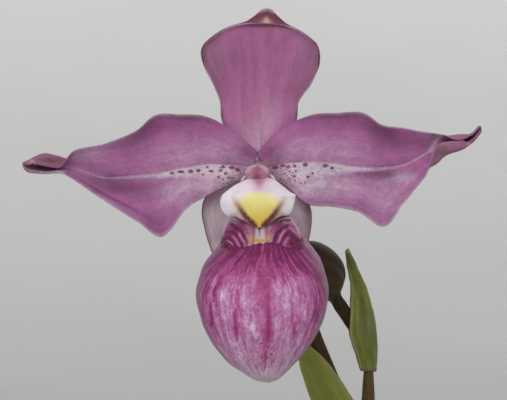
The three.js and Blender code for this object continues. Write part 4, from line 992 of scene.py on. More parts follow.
def pouch_bag():
    """The hollow pouch: an outer and an inner skin that meet at the slanting rim."""
    sides, rings = 192, 104
    angle, ring = circle(sides)
    signed = np.where(angle > np.pi, angle - 2 * np.pi, angle)
    turned = np.degrees(np.abs(signed))
    rise = smooth((turned - RIM["starts"]) / (RIM["ends"] - RIM["starts"]))
    rim = mix(RIM["front"], RIM["back"], rise) - RIM["dip"] * bell(turned - RIM["dips_at"], 12)
    share = share_at(POUCH, 0, rim) * mix(0.01, 1, np.linspace(0, 1, rings)[:, None] ** 0.9)
    z, half, front, back, shift = columns(POUCH, share)
    c, s = (np.sign(ring) * np.abs(ring) ** POUCH_ROUNDNESS).T
    outer = stacked(shift + half * s, (front + back) / 2 - (back - front) / 2 * c, z)
    up = np.gradient(outer, axis=0)
    normal = unit(np.cross(np.roll(outer, -1, axis=1) - np.roll(outer, 1, axis=1), up))
    vein = signed / mix(1.0, 0.5, smooth((z + 42) / 18))
    dent = 0.22 * ripple(outer, 13, 21) + 0.05 * ripple(
        stacked(vein * 14, z * 0.35, 0 * z), 2.2, 22)
    outer = outer + normal * (dent * smooth((share - 0.05) / 0.15))[..., None]
    inner = outer - normal * POUCH_WALL
    lip = (outer[-1] + inner[-1]) / 2 + unit(up[-1]) * POUCH_WALL * 0.4
    foot = (outer[0].mean(0), inner[0].mean(0) + [0, 0, 0.2])
    # The outside, the inside, the lip between them and the two ends at the foot
    count = rings * sides
    ids = np.arange(count).reshape(rings, sides)
    quads = ring_quads(ids)
    outside, middle, inside = ids[-1], 2 * count + np.arange(sides), ids[-1] + count
    faces = [
        quads, quads[:, ::-1] + count,
        stacked(outside, np.roll(outside, -1), np.roll(middle, -1), middle),
        stacked(middle, np.roll(middle, -1), np.roll(inside, -1), inside),
        np.concatenate([cap(2 * count + sides, ids[0]),
                        cap(2 * count + sides + 1, ids[0] + count, True)]),
    ]
    points = np.concatenate([outer.reshape(-1, 3), inner.reshape(-1, 3), lip, foot])

    def spread(f):
        return np.concatenate([f.ravel(), f.ravel(), f[-1], [f[0, 0], f[0, 0]]])

    x = outer[..., 0]
    out = np.abs(x - shift) / np.maximum(half, 3)
    front = smooth((85 - turned) / 25) * np.ones_like(z)
    near_rim = smooth((z + 39) / 13) * smooth((86 - turned) / 60)
    deep = 0.95 * near_rim + 0.36 * hump(out, 0.7, 0.9, 1.05) * front * smooth((z + 60) / 12)
    deep += front * (strokes(x, z, *POUCH_BARS) + 0.12 * hump(z, -44, -37, -31))
    pale = front * blobs(x, z, *POUCH_LIGHTS, *POUCH_PALE)
    grey = 0.7 * smooth((out - 0.86) / 0.14) * smooth((-22 - z) / 5)
    grey += 0.22 * smooth((turned - 25) / 40) * smooth((z + 44) / 12)
    rays = np.maximum(near_rim, 0.85 * smooth((out - 0.5) / 0.3) * smooth((z + 56) / 16))
    speckle = np.zeros_like(z)
    for cx, cz in POUCH_SPOTS:
        speckle = np.maximum(speckle, np.exp(-((x - cx) ** 2 + (z - cz) ** 2) / 0.2)) * front
    fields = {
        "deep": np.clip(deep, 0, 1), "pale": np.clip(pale, 0, 1.6), "grey": np.clip(grey, 0, 1),
        "speckle": speckle, "rays": rays, "glow": np.clip(front * blobs(x, z, *POUCH_GLOW), 0, 1),
        # The dark line under the front rim: partly the rim's own colour, partly painted shadow in
        # the gap at the lobes' foot.
        "rim": hump(rim - z, -0.6, 0.2, 1.1) * smooth((95 - turned) / 30),
        "bars": front * strokes(x, z, *LOBE_BARS[3:5], *LOBE_BARS[8:10]),
        "lights": front * strokes(x, z, *LOBE_LIGHTS[-1:]),
    }
    flow = stacked(spread(z), spread(vein / (2 * np.pi) + 0.5))
    return Shell(points, faces, flow, wraps=True,
                 back=np.repeat([0.0, 1.0, 0.5, 0.0], [count, count, sides, 2]),
                 **{name: spread(field) for name, field in fields.items()})


def lobe(side):
    """One folded-in side lobe: -1 for the left one and 1 for the right one."""
    n, m = 76, 70
    u, v = grid(n, m)
    rows = along(LOBE, v).reshape(n, m, 3, 3)
    points = np.einsum("...k,...kc->...c", along(np.eye(3), u), rows)
    points[..., 0] = side * points[..., 0] + LOBE_SHIFT
    if side > 0:
        points[..., 0] += 1.5 * smooth((v - 0.55) / 0.45) * (1 - 0.6 * u)
    edge = np.minimum(np.minimum(v, 1 - v) * 4, np.minimum(u, 1 - u) * 4)
    if side < 0:
        points, u, v, edge = points[:, ::-1], u[:, ::-1], v[:, ::-1], edge[:, ::-1]
    x, z = points[..., 0], points[..., 2]
    off = np.abs(x - LOBE_SHIFT)
    bars, lights = strokes(x, z, *LOBE_BARS), strokes(x, z, *LOBE_LIGHTS)
    bars = bars * (1 - 0.6 * smooth((v - 0.88) / 0.08) * smooth((z + 23.5) / 2))
    swell = np.sin((9 * v - 5.5 * u) * 2.2) * smooth(v / 0.3) * smooth((1 - v) / 0.1)
    points[..., 1] += (0.14 * bars - 0.12 * lights - 0.06 * swell) * smooth(edge / 0.4)
    points[..., 1] += 0.5 * bell(off, 0.8) * (1 - u) + 1.5 * u ** 2
    gold = 0.75 * blobs(off, z, (2.7, -24.1, 0.9, 1.2, 1.0))
    gold += 1.2 * bell(z + 24.7, 0.45) * (1 - smooth((off - 1.2) / 0.8))
    # The pale violet of the upper outer corners is their own colour, made stronger as painted light
    # against the shade under the shield.
    violet = 0.3 * smooth((z + 20.6) / 2.2) * smooth((off - 4.0) / 4)
    violet += 0.8 * smooth((v - 0.86) / 0.09) * smooth((z + 24) / 2.5)
    violet += 0.35 * hump(off, 1.5, 3.2, 5.5) + blobs(off, z, (8.4, -17.0, 2.2, 1.7, 1.2))
    return blade(
        points, mix(0.3, 0.55, smooth(edge / 0.6)), stacked(u * 17, v), FORWARD,
        lobe=np.ones_like(u), slit=1 - smooth((off - (1.25 if side < 0 else 1.5)) / 0.6),
        bars=bars, lights=lights, gold=np.clip(gold, 0, 1), violet=np.clip(violet, 0, 1),
        blot=np.clip(blobs(x, z, *LOBE_BLOTS), 0, 1),
    )


def pouch_material():
    look = Look("pouch skin", Sheen_Weight=0.08, Sheen_Roughness=0.4, Specular_IOR_Level=0.3,
                Coat_Weight=0.03, Coat_Roughness=0.35)
    down, round_it = look.flow[0], look.flow[1]

    def stretched(around, fall, *kind):
        """Noise by counts of features around the pouch and per millimetre of height."""
        vector = look.joined(look.times(round_it, around), look.times(down, fall))
        return look.noise(vector, 1.0, *kind)

    grain = look.noise(look.place, 1.7, 4, 0.7)
    streak = look.ramp(stretched(50, 0.09, 3, 0.55, 0.2), (0.38, 0.0), (0.5, 0.5), (0.62, 1.0))
    blotch = look.ramp(stretched(64, 0.26, 3, 0.6, 0.1), (0.4, 0.0), (0.6, 1.0))
    ridge = look.math("ABSOLUTE", look.total(-0.5, (stretched(90, 0.4, 2, 0.5, 0.4), 1)))
    net = look.ramp(ridge, (0.0, 1.0), (0.16 / 3, 0.5), (0.16, 0.0))
    web = look.joined(look.times(round_it, 84), look.times(down, 0.32),
                      look.noise(look.place, 0.8, 2))
    web = look.ramp(look.cells(web, 1.0, "DISTANCE_TO_EDGE"), (0.0, 1.0), (0.12, 0.7), (0.42, 0.0))
    rays = look.ramp(stretched(110, 0.045, 2, 0.5), (0.4, 0.0), (0.5, 0.5), (0.58, 1.0))
    rays = look.times(look.total(-0.5, (rays, 1)), "rays")
    fibre = look.ramp(stretched(84, 0.13, 2, 0.5, 0.3), (0.34, 0.0), (0.5, 0.5), (0.66, 1.0))
    field = look.total(
        -0.32, (streak, 0.2), (blotch, 0.13), (net, 0.13), (web, 0.13), (fibre, 0.13),
        (rays, 0.4), ("deep", 0.6), ("pale", -0.28), (grain, 0.7))
    colour = look.ramp(
        field, (0.0, (236, 208, 228)), (0.12, (216, 174, 206)), (0.28, (204, 138, 185)),
        (0.5, (184, 92, 151)), (0.78, (150, 48, 110)), (1.0, (112, 26, 78)))
    dots = look.ramp(look.total(-0.4, (grain, 0.8), ("speckle", 1)), (0.35, 0.0), (0.6, 0.8))
    colour = look.layers(
        colour, ("glow", (194, 82, 140)), ("grey", (128, 94, 118)), (dots, (126, 36, 84)))
    # The side lobes, and the bars that run on over the rim
    tint = look.total(-0.33, (grain, 1.5), ("blot", 0.4))
    lobes = look.ramp(tint, (0.1, (212, 124, 186)), (0.4, (180, 56, 134)), (0.7, (134, 14, 86)))
    # Pale violet on the lobes: their own colour, made stronger as painted light where the shield
    # shades them.
    violet = look.times("violet", look.ramp(grain, (0.46, 1.0), (0.64, 0.45)))
    colour = look.blend("lobe", colour, look.layers(lobes, (violet, (232, 212, 226))))
    bars = look.ramp(look.total(-0.65, (grain, 1.3), ("bars", 1)), (0.15, 0.0), (0.75, 0.95))
    lights = look.ramp(look.total(-0.5, (grain, 1.0), ("lights", 1)), (0.1, 0.0), (1.0, 0.85))
    # The rim colour over them is partly painted shadow in the gap at the lobes' foot.
    colour = look.layers(
        colour, (bars, (88, 8, 52)), (lights, (208, 150, 194)), ("slit", (226, 212, 214)),
        ("gold", (214, 172, 96)), (look.times("rim", 0.9), (104, 18, 70)))
    inside = look.ramp(net, (0.0, (182, 150, 172)), (1.0, (150, 104, 134)))
    behind = look.times(look.total(1.0, ("lobe", -1)), look.behind())
    return look.finish(
        look.blend(behind, colour, inside), look.ramp(grain, (0.3, 0.42), (0.7, 0.56)),
        look.total(0.0, (grain, 0.5), (net, -0.5)), 0.1)


piece("pouch", merged([pouch_bag(), lobe(-1), lobe(1)]), pouch_material(), FLOWER_CENTRE)


# Column with its shield and knob
def shield():
    """The shield: a front and a back inside one uneven outline."""
    sides, rings = 168, 34
    loop = np.array(SHIELD_OUTLINE, float)
    t = np.linspace(0, 1, sides, endpoint=False) * len(loop)
    outline = spline(np.vstack([loop[-1], loop, loop[0], loop[1]]), t)
    centre = np.array(SHIELD["centre"])
    share = (np.linspace(0.03, 1, rings) ** 0.8)[:, None]
    flat = centre + share[..., None] * (outline - centre)[None]
    x, z = flat[..., 0], flat[..., 1]
    fall = np.sqrt(np.maximum(1 - share ** 12, 0))
    swell = SHIELD["swell"] * (1 - share ** 2.4) + SHIELD["edge"] * 0.5 * fall
    groove = 0.12 * bell(x + 0.3, 0.9) * smooth((-8 - z) / 6)
    front = SHIELD["depth"] - swell + groove + 0.12 * ripple(stacked(x, 0 * x, z), 6, 2)
    back = SHIELD["depth"] + 1.6 * (1 - share ** 2) * np.ones_like(x) + 0.35 * fall
    rows = np.concatenate([stacked(x, front, z), stacked(x, back, z)[::-1]])
    ends = [[centre[0], depth, centre[1]] for depth in (front[0].mean(), back[0].mean())]
    points = np.concatenate([rows.reshape(-1, 3), ends])
    px, pz = points[:, 0] + 0.35, points[:, 2]
    off, above = np.abs(px), pz + 20.3
    # The dark stripes run out from the tip along this line, with the yellow between them.
    line = 0.7 + 0.93 * above
    high = np.hypot(off / 8.2, (above - 6.4) / 5.6)
    gold = np.where(above > 6.6, 1 - smooth((high - 0.58) / 0.5), 1) * smooth(
        (line + 0.7 + 0.1 * above - off) / (0.5 + 0.42 * above))
    pure = 0.8 * smooth((line - off) / (0.6 + 0.5 * above)) * (1 - smooth((above - 2) / 8))
    stripe = 1.15 * bell(off - line - 0.3, 1.75 - 0.07 * above) * smooth(off / 0.9)
    stripe *= 1 - smooth((off - 4.4) / 3.4)
    tan = 0.9 * bell(off - line + 0.3, 1.5) * hump(off, 3.4, 6.2, 9.4)
    cream = 0.7 * bell(off - line - 2.3, 1.3) * (1 - smooth((off - 5) / 5))
    # The wide third mauve patch darkens the shield's top, painted shade against the light falling on
    # it, and tints it pink.
    mauve = blobs(px, pz, (0, -3.9, 4.6, 1.8, 0.8), (0, -5.6, 1.7, 3.0, 0.7),
                  (0, -7.5, 10, 3.4, 0.2))
    on_front = np.concatenate([np.ones(rings * sides), np.zeros(rings * sides), [1, 0]])
    fields = {"gold": gold, "pure": pure, "stripe": stripe, "tan": tan, "cream": cream,
              "mauve": np.clip(mauve, 0, 1)}
    return Shell(
        points, ring_faces(2 * rings, sides), points[:, [0, 2]] * 0.1,
        **{name: field * on_front for name, field in fields.items()}).mark("shield")


def knob():
    """The knob above the shield, with a dusky groove down its front, painted light on its lower
    sides and painted highlights along its upper rims.
    """
    made = lump(*KNOB, sides=80, rings=50, seed=5, rough=0.02).mark("knob")
    x, z = made.points[:, 0] - KNOB[0][0], made.points[:, 2] - KNOB[0][2]
    made.fields["dusk"] = 0.75 * bell(x, 1.5) * (1 - smooth((z - 1.4) / 1.6))
    # The pale wing tint on the knob is painted light: on its lower sides against the shade at its
    # foot, and as highlights along its upper left and right rims.
    edges = strokes(x, z, (0.45, 1.0, (-3.3, 0.4), (-2, 1.9), (-0.6, 2.4)),
                    (0.5, 1.0, (3.3, 0.2), (2.4, 1.7), (1.2, 2.3)))
    made.fields["wing"] = 0.55 * smooth((-0.3 - z) / 1.8) * (1 - bell(x, 1.7)) + 0.6 * edges
    made.points[:, 1] += 0.35 * bell(x, 0.8) * (1 - smooth((z - 1) / 1.5))
    return made


def column():
    """The column: its neck, knob, shield, wings, anthers and stigma, and its hairs."""
    ball = knob()
    # Pale wings of the column that show beside the knob
    wings = [lump(place, WING["radii"], sides=28, rings=22, seed=31, rough=0.05).mark("wing")
             for place in WINGS]
    for wing, lean in zip(wings, WING["leans"]):
        wing.points[:, 0] += lean * (wing.points[:, 2] - WING["level"])
    (out, *rest), radii = ANTHER
    anthers = [lump((s * out, *rest), radii, sides=36, rings=24, seed=6 + s, rough=0.06)
               .mark("pollen") for s in (-1, 1)]
    away = unit(ball.points - np.array(KNOB[0]))
    upward = away[:, 2] > 0.2
    short = fur(ball.points[upward], away[upward], count=260, length=0.6, thickness=0.05,
                seed=15, lean=0.3)
    # The tuft of longer hairs where the column meets the dorsal sepal
    rng = np.random.default_rng(16)
    size = (TUFT["hairs"], 3)
    roots = np.array(TUFT["root"]) + rng.normal(size=size) * [0.3, 0.3, 0.7]
    leaning = np.array(TUFT["leaning"]) + 0.35 * rng.normal(size=size)
    tuft = hairs(roots, leaning, rng.uniform(0.8, 1.7, TUFT["hairs"]), thickness=0.09, seed=17)
    neck = tube(COLUMN_PATH, COLUMN_RADII, steps=70, sides=56)
    stigma = lump(*STIGMA, sides=40, rings=28, seed=9)
    return merged([shield(), neck, ball, stigma, *anthers, *wings, short, tuft])


def column_material():
    look = Look("column skin", Sheen_Weight=0.06, Specular_IOR_Level=0.3, Coat_Weight=0.03,
                Coat_Roughness=0.4)
    grain = look.noise(look.place, 1.3, 4, 0.65)
    soft = look.noise(look.place, 0.3, 3, 0.5)
    white = look.ramp(soft, (0.35, (247, 235, 243)), (0.65, (252, 245, 250)))
    neck = look.ramp(soft, (0.35, (150, 96, 122)), (0.65, (176, 132, 152)))
    ball = look.ramp(grain, (0.35, (180, 110, 142)), (0.65, (208, 152, 176)))
    broken = look.times("stripe", look.ramp(grain, (0.3, 0.65), (0.6, 1.1)))
    stripe = look.ramp(broken, (0.15, 0.0), (0.95, 0.95))
    # The wing tint on the knob is painted light and painted highlight; on the wings it is their own
    # pale colour.
    colour = look.layers(
        look.blend("shield", look.blend("knob", neck, ball), white), ("dusk", (136, 70, 102)),
        ("mauve", (194, 130, 158)), ("cream", (236, 220, 180)), ("gold", (255, 245, 158)),
        ("pure", (250, 222, 84)), ("tan", (166, 120, 78)), ("wing", (222, 200, 204)),
        (stripe, (120, 30, 34)), ("pollen", (196, 160, 84)), ("hair", (226, 212, 214)))
    return look.finish(colour, look.ramp(grain, (0.3, 0.4), (0.7, 0.52)), grain, 0.07)


piece("column", column(), column_material(), FLOWER_CENTRE)


# Stem, ovary, bud, bracts and sheaths
def stalk_material(name, dark, light, green, hair, sheen):
    look = Look(name, Specular_IOR_Level=0.12, Sheen_Weight=sheen)
    grain = look.noise(look.place, 1.4, 4, 0.7)
    tone = look.total(0.0, (look.strands(0.12, 16, 4, 0.6), 0.6), (grain, 0.4))
    freckle = look.ramp(look.cells(look.place, 1.1), (0.12, 0.7), (0.3, 0.0))
    colour = look.layers(look.ramp(tone, (0.34, dark), (0.66, light)),
                         (look.times(freckle, 0.4), dark), ("green", green))
    colour = look.shaded(colour, look.ramp("seam", (0.2, 1.0), (1.0, 0.62)))
    colour = look.layers(colour, ("hair", hair))
    return look.finish(colour, look.ramp(tone, (0.3, 0.5), (0.7, 0.66)), tone, 0.12)


def skin_fur(shell, count, length, seed):
    """Fine hairs all over a stem."""
    return fur(shell.points, shell.normals, count, length, thickness=0.05, seed=seed)


def stem():
    """The flower stem, swollen at its nodes and greener towards the foot."""
    nodes = [row[0] for row in SHEATHS] + [UPPER_STEM_NODE]

    def relief(t, angle, centre):
        z = centre[:, 2][:, None]
        swell = sum(0.14 * bell(z - at - 1.5, 3) for at in nodes)
        skin = ripple(stacked(np.cos(angle) * 3, np.sin(angle) * 3, z), 9, 41)
        return 1 + swell + 0.018 * np.cos(7 * angle + 0.02 * z) + 0.014 * skin

    shell = tube(STEM_PATH, STEM_RADII, steps=330, sides=40, relief=relief)
    green = 0.75 * (1 - smooth((shell.points[:, 2] - 110) / 160))
    shell.fields["green"] = np.clip(green + 0.25 * ripple(shell.points, 30, 42), 0, 0.85)
    return merged([shell, skin_fur(shell, count=2600, length=0.75, seed=43)])


def ovary():
    """The ovary, ribbed and a little twisted, and the seat that carries the flower."""

    def relief(t, angle, centre):
        return 1 + 0.06 * np.abs(np.cos(3 * angle + 1.6 * t)) ** 1.5 - 0.04

    shell = tube(OVARY_PATH, OVARY_RADII, steps=190, sides=48, relief=relief)
    seat = tube(SEAT_PATH, SEAT_RADII, steps=16, sides=48)
    return merged([shell, seat, skin_fur(shell, count=2600, length=0.6, seed=45)])


def bud():
    """The nodding bud with its three seams, on its own ribbed ovary."""
    steps, sides = 160, 60

    def seams(angle):
        return bell(((angle - 0.5) / (2 * np.pi) * 3) % 1 - 0.5, 0.045)

    def relief(t, angle, centre):
        body = smooth((t - 0.52) / 0.1)
        ribs = (1 - body) * (0.05 * np.abs(np.cos(3 * angle)) ** 1.5 - 0.03)
        return 1 - 0.06 * body * seams(angle) + 0.02 * body * np.cos(3 * angle) + ribs

    shell = tube(BUD_PATH, BUD_RADII, steps, sides, relief)
    t, z = shell.fields["along"], shell.points[:, 2]
    angle = np.concatenate([np.tile(circle(sides)[0], steps), [0, 0]])
    shell.fields["seam"] = seams(angle) * smooth((t - 0.55) / 0.1)
    shell.fields["green"] = 0.6 * smooth((-35 - z) / 7) * smooth((t - 0.5) / 0.1)
    return merged([shell, skin_fur(shell, count=3400, length=0.55, seed=47)])


def bract(rows, depth, seed, light):
    """A bract folded about its keel; depth is that of its foot and of its tip. Light is a lighter
    tint, painted light for a bract that lies in shade.
    """
    u, v = grid(90, 57)
    keel_x, keel_z, margin_x, margin_z, gap = columns(rows, u)
    w = 2 * v - 1
    a = np.abs(w)
    share = 1 - np.cos(a * np.pi / 2)
    y = mix(*depth, u) + np.sign(w) * gap * np.sin(a * np.pi / 2)
    points = stacked(mix(keel_x, margin_x, share), y, mix(keel_z, margin_z, share))
    points += 0.12 * ripple(points, 6, seed)[..., None]
    half = mix(0.16, 0.34, smooth((1 - a) / 0.3)) + 0.12 * bell(w, 0.05)
    dull = blobs(u, w, (0.42, 0.35, 0.1, 0.3, 0.5), (0.42, -0.35, 0.1, 0.3, 0.5))
    shell = blade(
        points, half, stacked(60 * u, v), [-1, 0, 0], pale=0.75 * smooth((a - 0.9) / 0.07),
        rib=bell(w, 0.035), dry=smooth((0.05 - u) / 0.05), dull=dull,
        tip=smooth((u - 0.95) / 0.05), light=np.full_like(u, light))
    margins = margin_fur(points, count=320, length=0.45, thickness=0.045, seed=seed + 1)
    return merged([shell, margins])


def sheath(foot, length, side, gap, flare, seed):
    """A sheath that wraps the stem at its foot and leans away to one side at its tip."""
    u, v = grid(60, 53)
    share = share_at(STEM_PATH, 2, foot + u[:, 0] * length)
    centre, radius = along(STEM_PATH, share)[:, None], along(STEM_RADII, share)
    side = np.radians(side)
    angle = side + (2 * v - 1) * np.radians(mix(172, 14, u ** 1.25))
    swell = flare * np.sin(np.minimum(1, u * 1.15) * np.pi * 0.62)
    distance = radius + gap + SHEATH_BLADE / 2 + 0.35 * swell * smooth(4 * u)
    around = stacked(np.cos(angle), np.sin(angle), 0 * angle)
    out = np.array([np.cos(side), np.sin(side), 0])
    points = centre + around * distance[..., None] + out * (0.65 * swell * u)[..., None]
    points += 0.1 * ripple(points, 7, seed)[..., None]
    a = np.abs(2 * v - 1)
    half = mix(0.15, 0.32, smooth((1 - a) / 0.25)) + 0.1 * bell(v - 0.5, 0.03)
    return blade(points, half, stacked(length * u, v), around, rib=bell(v - 0.5, 0.02),
                 pale=0.7 * smooth((a - 0.9) / 0.08), dry=0.8 * smooth((u - 0.85) / 0.15),
                 tip=smooth((0.05 - u) / 0.05))


def bract_material():
    look = Look("bract skin", Sheen_Weight=0.08, Specular_IOR_Level=0.3)
    vein = lines(look, 22, 0.25, 0.4)
    clouds = look.noise(look.place, 0.22, 4, 0.6)
    grain = look.noise(look.place, 1.6, 4, 0.65)
    tone = look.total(0.0, (clouds, 0.3), (look.strands(0.035, 8, 4, 0.6, 0.3), 0.7))
    colour = look.ramp(tone, (0.36, (84, 90, 34)), (0.5, (110, 116, 46)), (0.64, (138, 142, 64)))
    # The light tint is painted light on a bract in shade.
    colour = look.layers(
        colour, ("light", (166, 170, 70)), (look.times(vein, 0.16), (70, 76, 28)),
        (look.times("rib", 0.4), (128, 130, 66)), ("dull", (126, 124, 92)),
        ("pale", (150, 148, 92)), ("dry", (120, 88, 56)), ("tip", (184, 182, 132)),
        ("hair", (186, 184, 150)))
    height = look.total(0.0, (grain, 0.5), (vein, -1))
    return look.finish(colour, look.ramp(grain, (0.3, 0.44), (0.7, 0.56)), height, 0.1)


stem_look = stalk_material(
    "stem skin", (64, 45, 30), (108, 86, 54), (92, 98, 48), (150, 128, 108), 0.15)
ovary_look = stalk_material(
    "ovary skin", (56, 39, 23), (94, 68, 41), (70, 70, 38), (122, 96, 74), 0.12)
bud_look = stalk_material(
    "bud skin", (40, 29, 19), (74, 56, 36), (66, 60, 28), (96, 78, 56), 0.04)
bract_look = bract_material()
piece("stem", stem(), stem_look)
piece("ovary", ovary(), ovary_look, FLOWER_CENTRE)
piece("bud", bud(), bud_look, FLOWER_CENTRE)
# The lower bract's light tint is painted light against the shade under the pouch.
lower_bract = bract(LOWER_BRACT, depth=(36, 34.6), seed=51, light=0.42)
upper_bract = bract(UPPER_BRACT, depth=(34, 31.6), seed=53, light=0.0)
piece("lower_bract", lower_bract, bract_look, FLOWER_CENTRE)
piece("upper_bract", upper_bract, bract_look, FLOWER_CENTRE)
for number, row in enumerate(SHEATHS):
    piece(f"sheath_{number + 1}", sheath(*row, seed=55 + number), bract_look)


# Leaves
def leaf(fan, spec, k, n, m):
    """Leaf number k of a fan, folded along its midrib at the base and opening outwards."""
    length, full_half, lean, tip, drift = spec
    side = -1 if k % 2 else 1
    reach = fan["first_reach"] + fan["reach_step"] * k
    gap = fan["first_gap"] + fan["gap_step"] * k
    turn = np.radians(fan["turn"])
    out = np.array([side * np.cos(turn), side * np.sin(turn), 0])
    across = np.array([-np.sin(turn), np.cos(turn), 0])
    up = np.array([0, 0, 1.0])
    base_half = min(reach + 5, full_half)
    widths = [base_half, max(0.8 * full_half, 0.72 * base_half)]
    widths += [f * full_half for f in (0.86, 0.96, 1, 0.97, 0.86, 0.6)] + [0.5]

    def lean_at(s):
        return np.radians(lean * smooth(s * length / 45) + (tip - lean) * s ** 1.5)

    # The spine, added up from many short steps that lean more and more
    fine = 600
    s = (np.arange(fine) + 0.5) / fine
    steps = np.sin(lean_at(s))[:, None] * out + np.cos(lean_at(s))[:, None] * up
    steps = steps * length / fine + across * (2 * drift * s / fine)[:, None]
    start = np.array([*fan["centre"], fan["foot"]]) + out * reach
    spine = start + np.concatenate([np.zeros((1, 3)), np.cumsum(steps, axis=0)])
    u, v = grid(n, m)
    s = u[:, 0]
    centre = np.stack([np.interp(s * fine, np.arange(fine + 1), spine[:, c]) for c in range(3)], -1)
    angle = lean_at(s)
    normal = (np.sin(angle)[:, None] * up - np.cos(angle)[:, None] * out)[:, None]
    # The two halves stand steeply at the base and lie almost flat further out
    opened = smooth((u * length - fan["folded"]) / (fan["opened"] - fan["folded"]))
    steep = np.radians(mix(88, 17 - 6 * u, opened))
    bend = mix(gap / 0.6, 3, opened)
    a = np.abs(2 * v - 1)
    distance = a * along(widths, u)[..., 0]
    parts = (np.arange(24) + 0.5) / 24
    slope = steep[..., None] * smooth(parts * (distance / bend)[..., None])
    sideways = np.cos(slope).mean(-1) * distance * np.sign(2 * v - 1)
    flutter = 0.7 * np.sin(u * length / 17 + 3 * v + k) * smooth((a - 0.35) / 0.65) * opened
    inward = np.sin(slope).mean(-1) * distance + flutter * smooth((1 - u) / 0.1)
    points = centre[:, None] + sideways[..., None] * across + inward[..., None] * normal
    thick = mix(0.2, 0.4, smooth((1 - a) / 0.3))
    thick = thick + 0.22 * bell(distance, 1.1) * smooth((1 - u) / 0.2)
    dry = smooth((u - 0.975) / 0.025) + 0.5 * smooth((a - 0.96) / 0.04) * smooth((u - 0.9) / 0.1)
    return blade(
        points, thick, stacked(u * length, v), normal, rib=bell(distance, 0.8),
        pale=0.85 * (1 - smooth((u * length) / (0.7 * fan["folded"]))),
        dry=dry * smooth((k - 1) / 4), age=np.full_like(u, smooth(k / 7)),
        groove=bell(distance, 0.35),
    )


def leaf_material():
    look = Look("leaf skin", Specular_IOR_Level=0.45, Coat_Weight=0.08, Coat_Roughness=0.3)
    vein, fine = lines(look, 26, 0.12, 0.45), lines(look, 90, 0.1, 0.5)
    clouds = look.noise(look.place, 0.035, 4, 0.6)
    grain = look.noise(look.place, 1.2, 4, 0.6)
    tone = look.total(0.0, (look.strands(0.02, 3, 4, 0.6), 0.35), (clouds, 0.35),
                      (look.strands(0.012, 34, 3, 0.55), 0.3))
    young = look.ramp(tone, (0.38, (74, 114, 40)), (0.62, (118, 154, 68)))
    old = look.ramp(tone, (0.38, (50, 86, 32)), (0.62, (88, 122, 52)))
    under = look.ramp(tone, (0.35, (104, 134, 72)), (0.65, (132, 158, 96)))
    colour = look.blend(look.times(look.behind(), 0.75), look.blend("age", young, old), under)
    flecks = look.ramp(look.cells(look.place, 0.16), (0.05, 0.6), (0.11, 0.0))
    colour = look.layers(
        colour, (look.times(vein, 0.42), (44, 78, 26)), (look.times(fine, 0.12), (140, 170, 90)),
        (look.times("rib", 0.4), (140, 164, 92)), (look.times("groove", 0.35), (48, 82, 28)),
        ("pale", (176, 186, 128)), (look.times(flecks, 0.35), (168, 168, 112)),
        ("dry", (132, 100, 60)))
    height = look.total(0.0, (vein, -0.9), (grain, 0.25))
    return look.finish(colour, look.ramp(grain, (0.3, 0.34), (0.7, 0.46)), height, 0.12)


leaf_look = leaf_material()
for number, row in enumerate(LEAVES):
    piece(f"leaf_{number + 1}", leaf(FAN, row, number, n=120, m=33), leaf_look)
for number, row in enumerate(OFFSET_LEAVES):
    young = leaf(OFFSET_FAN, row, number, n=84, m=29)
    piece(f"young_leaf_{number + 1}", young, leaf_look)


# Pot
def pot_inside(z):
    """The radius of the pot's inside at a height."""
    share = (z - POT["floor"]) / (POT["height"] - POT["floor"])
    return mix(POT["base"] - POT["wall"] + 1, POT["neck"] - 1, share)


def rounded(profile, radius, step):
    """A profile with its corners rounded and its long runs divided."""
    profile = np.asarray(profile, float)
    out = [profile[0]]
    for before, corner, after in zip(profile[:-2], profile[1:-1], profile[2:]):
        r = min(radius, *(0.45 * np.linalg.norm(other - corner) for other in (before, after)))
        start, end = corner + unit(before - corner) * r, corner + unit(after - corner) * r
        runs = max(int(np.linalg.norm(start - out[-1]) / step), 1)
        out += [mix(out[-1], start, k / runs) for k in range(1, runs)]
        out += [mix(mix(start, corner, t), mix(corner, end, t), t) for t in (0, 0.33, 0.67, 1)]
    runs = max(int(np.linalg.norm(profile[-1] - out[-1]) / step), 1)
    return np.array(out + [mix(out[-1], profile[-1], k / runs) for k in range(1, runs + 1)])


def lathe(r, z, ring):
    """Points of a profile turned round the upright."""
    return stacked(r * ring[:, 0], r * ring[:, 1], z)


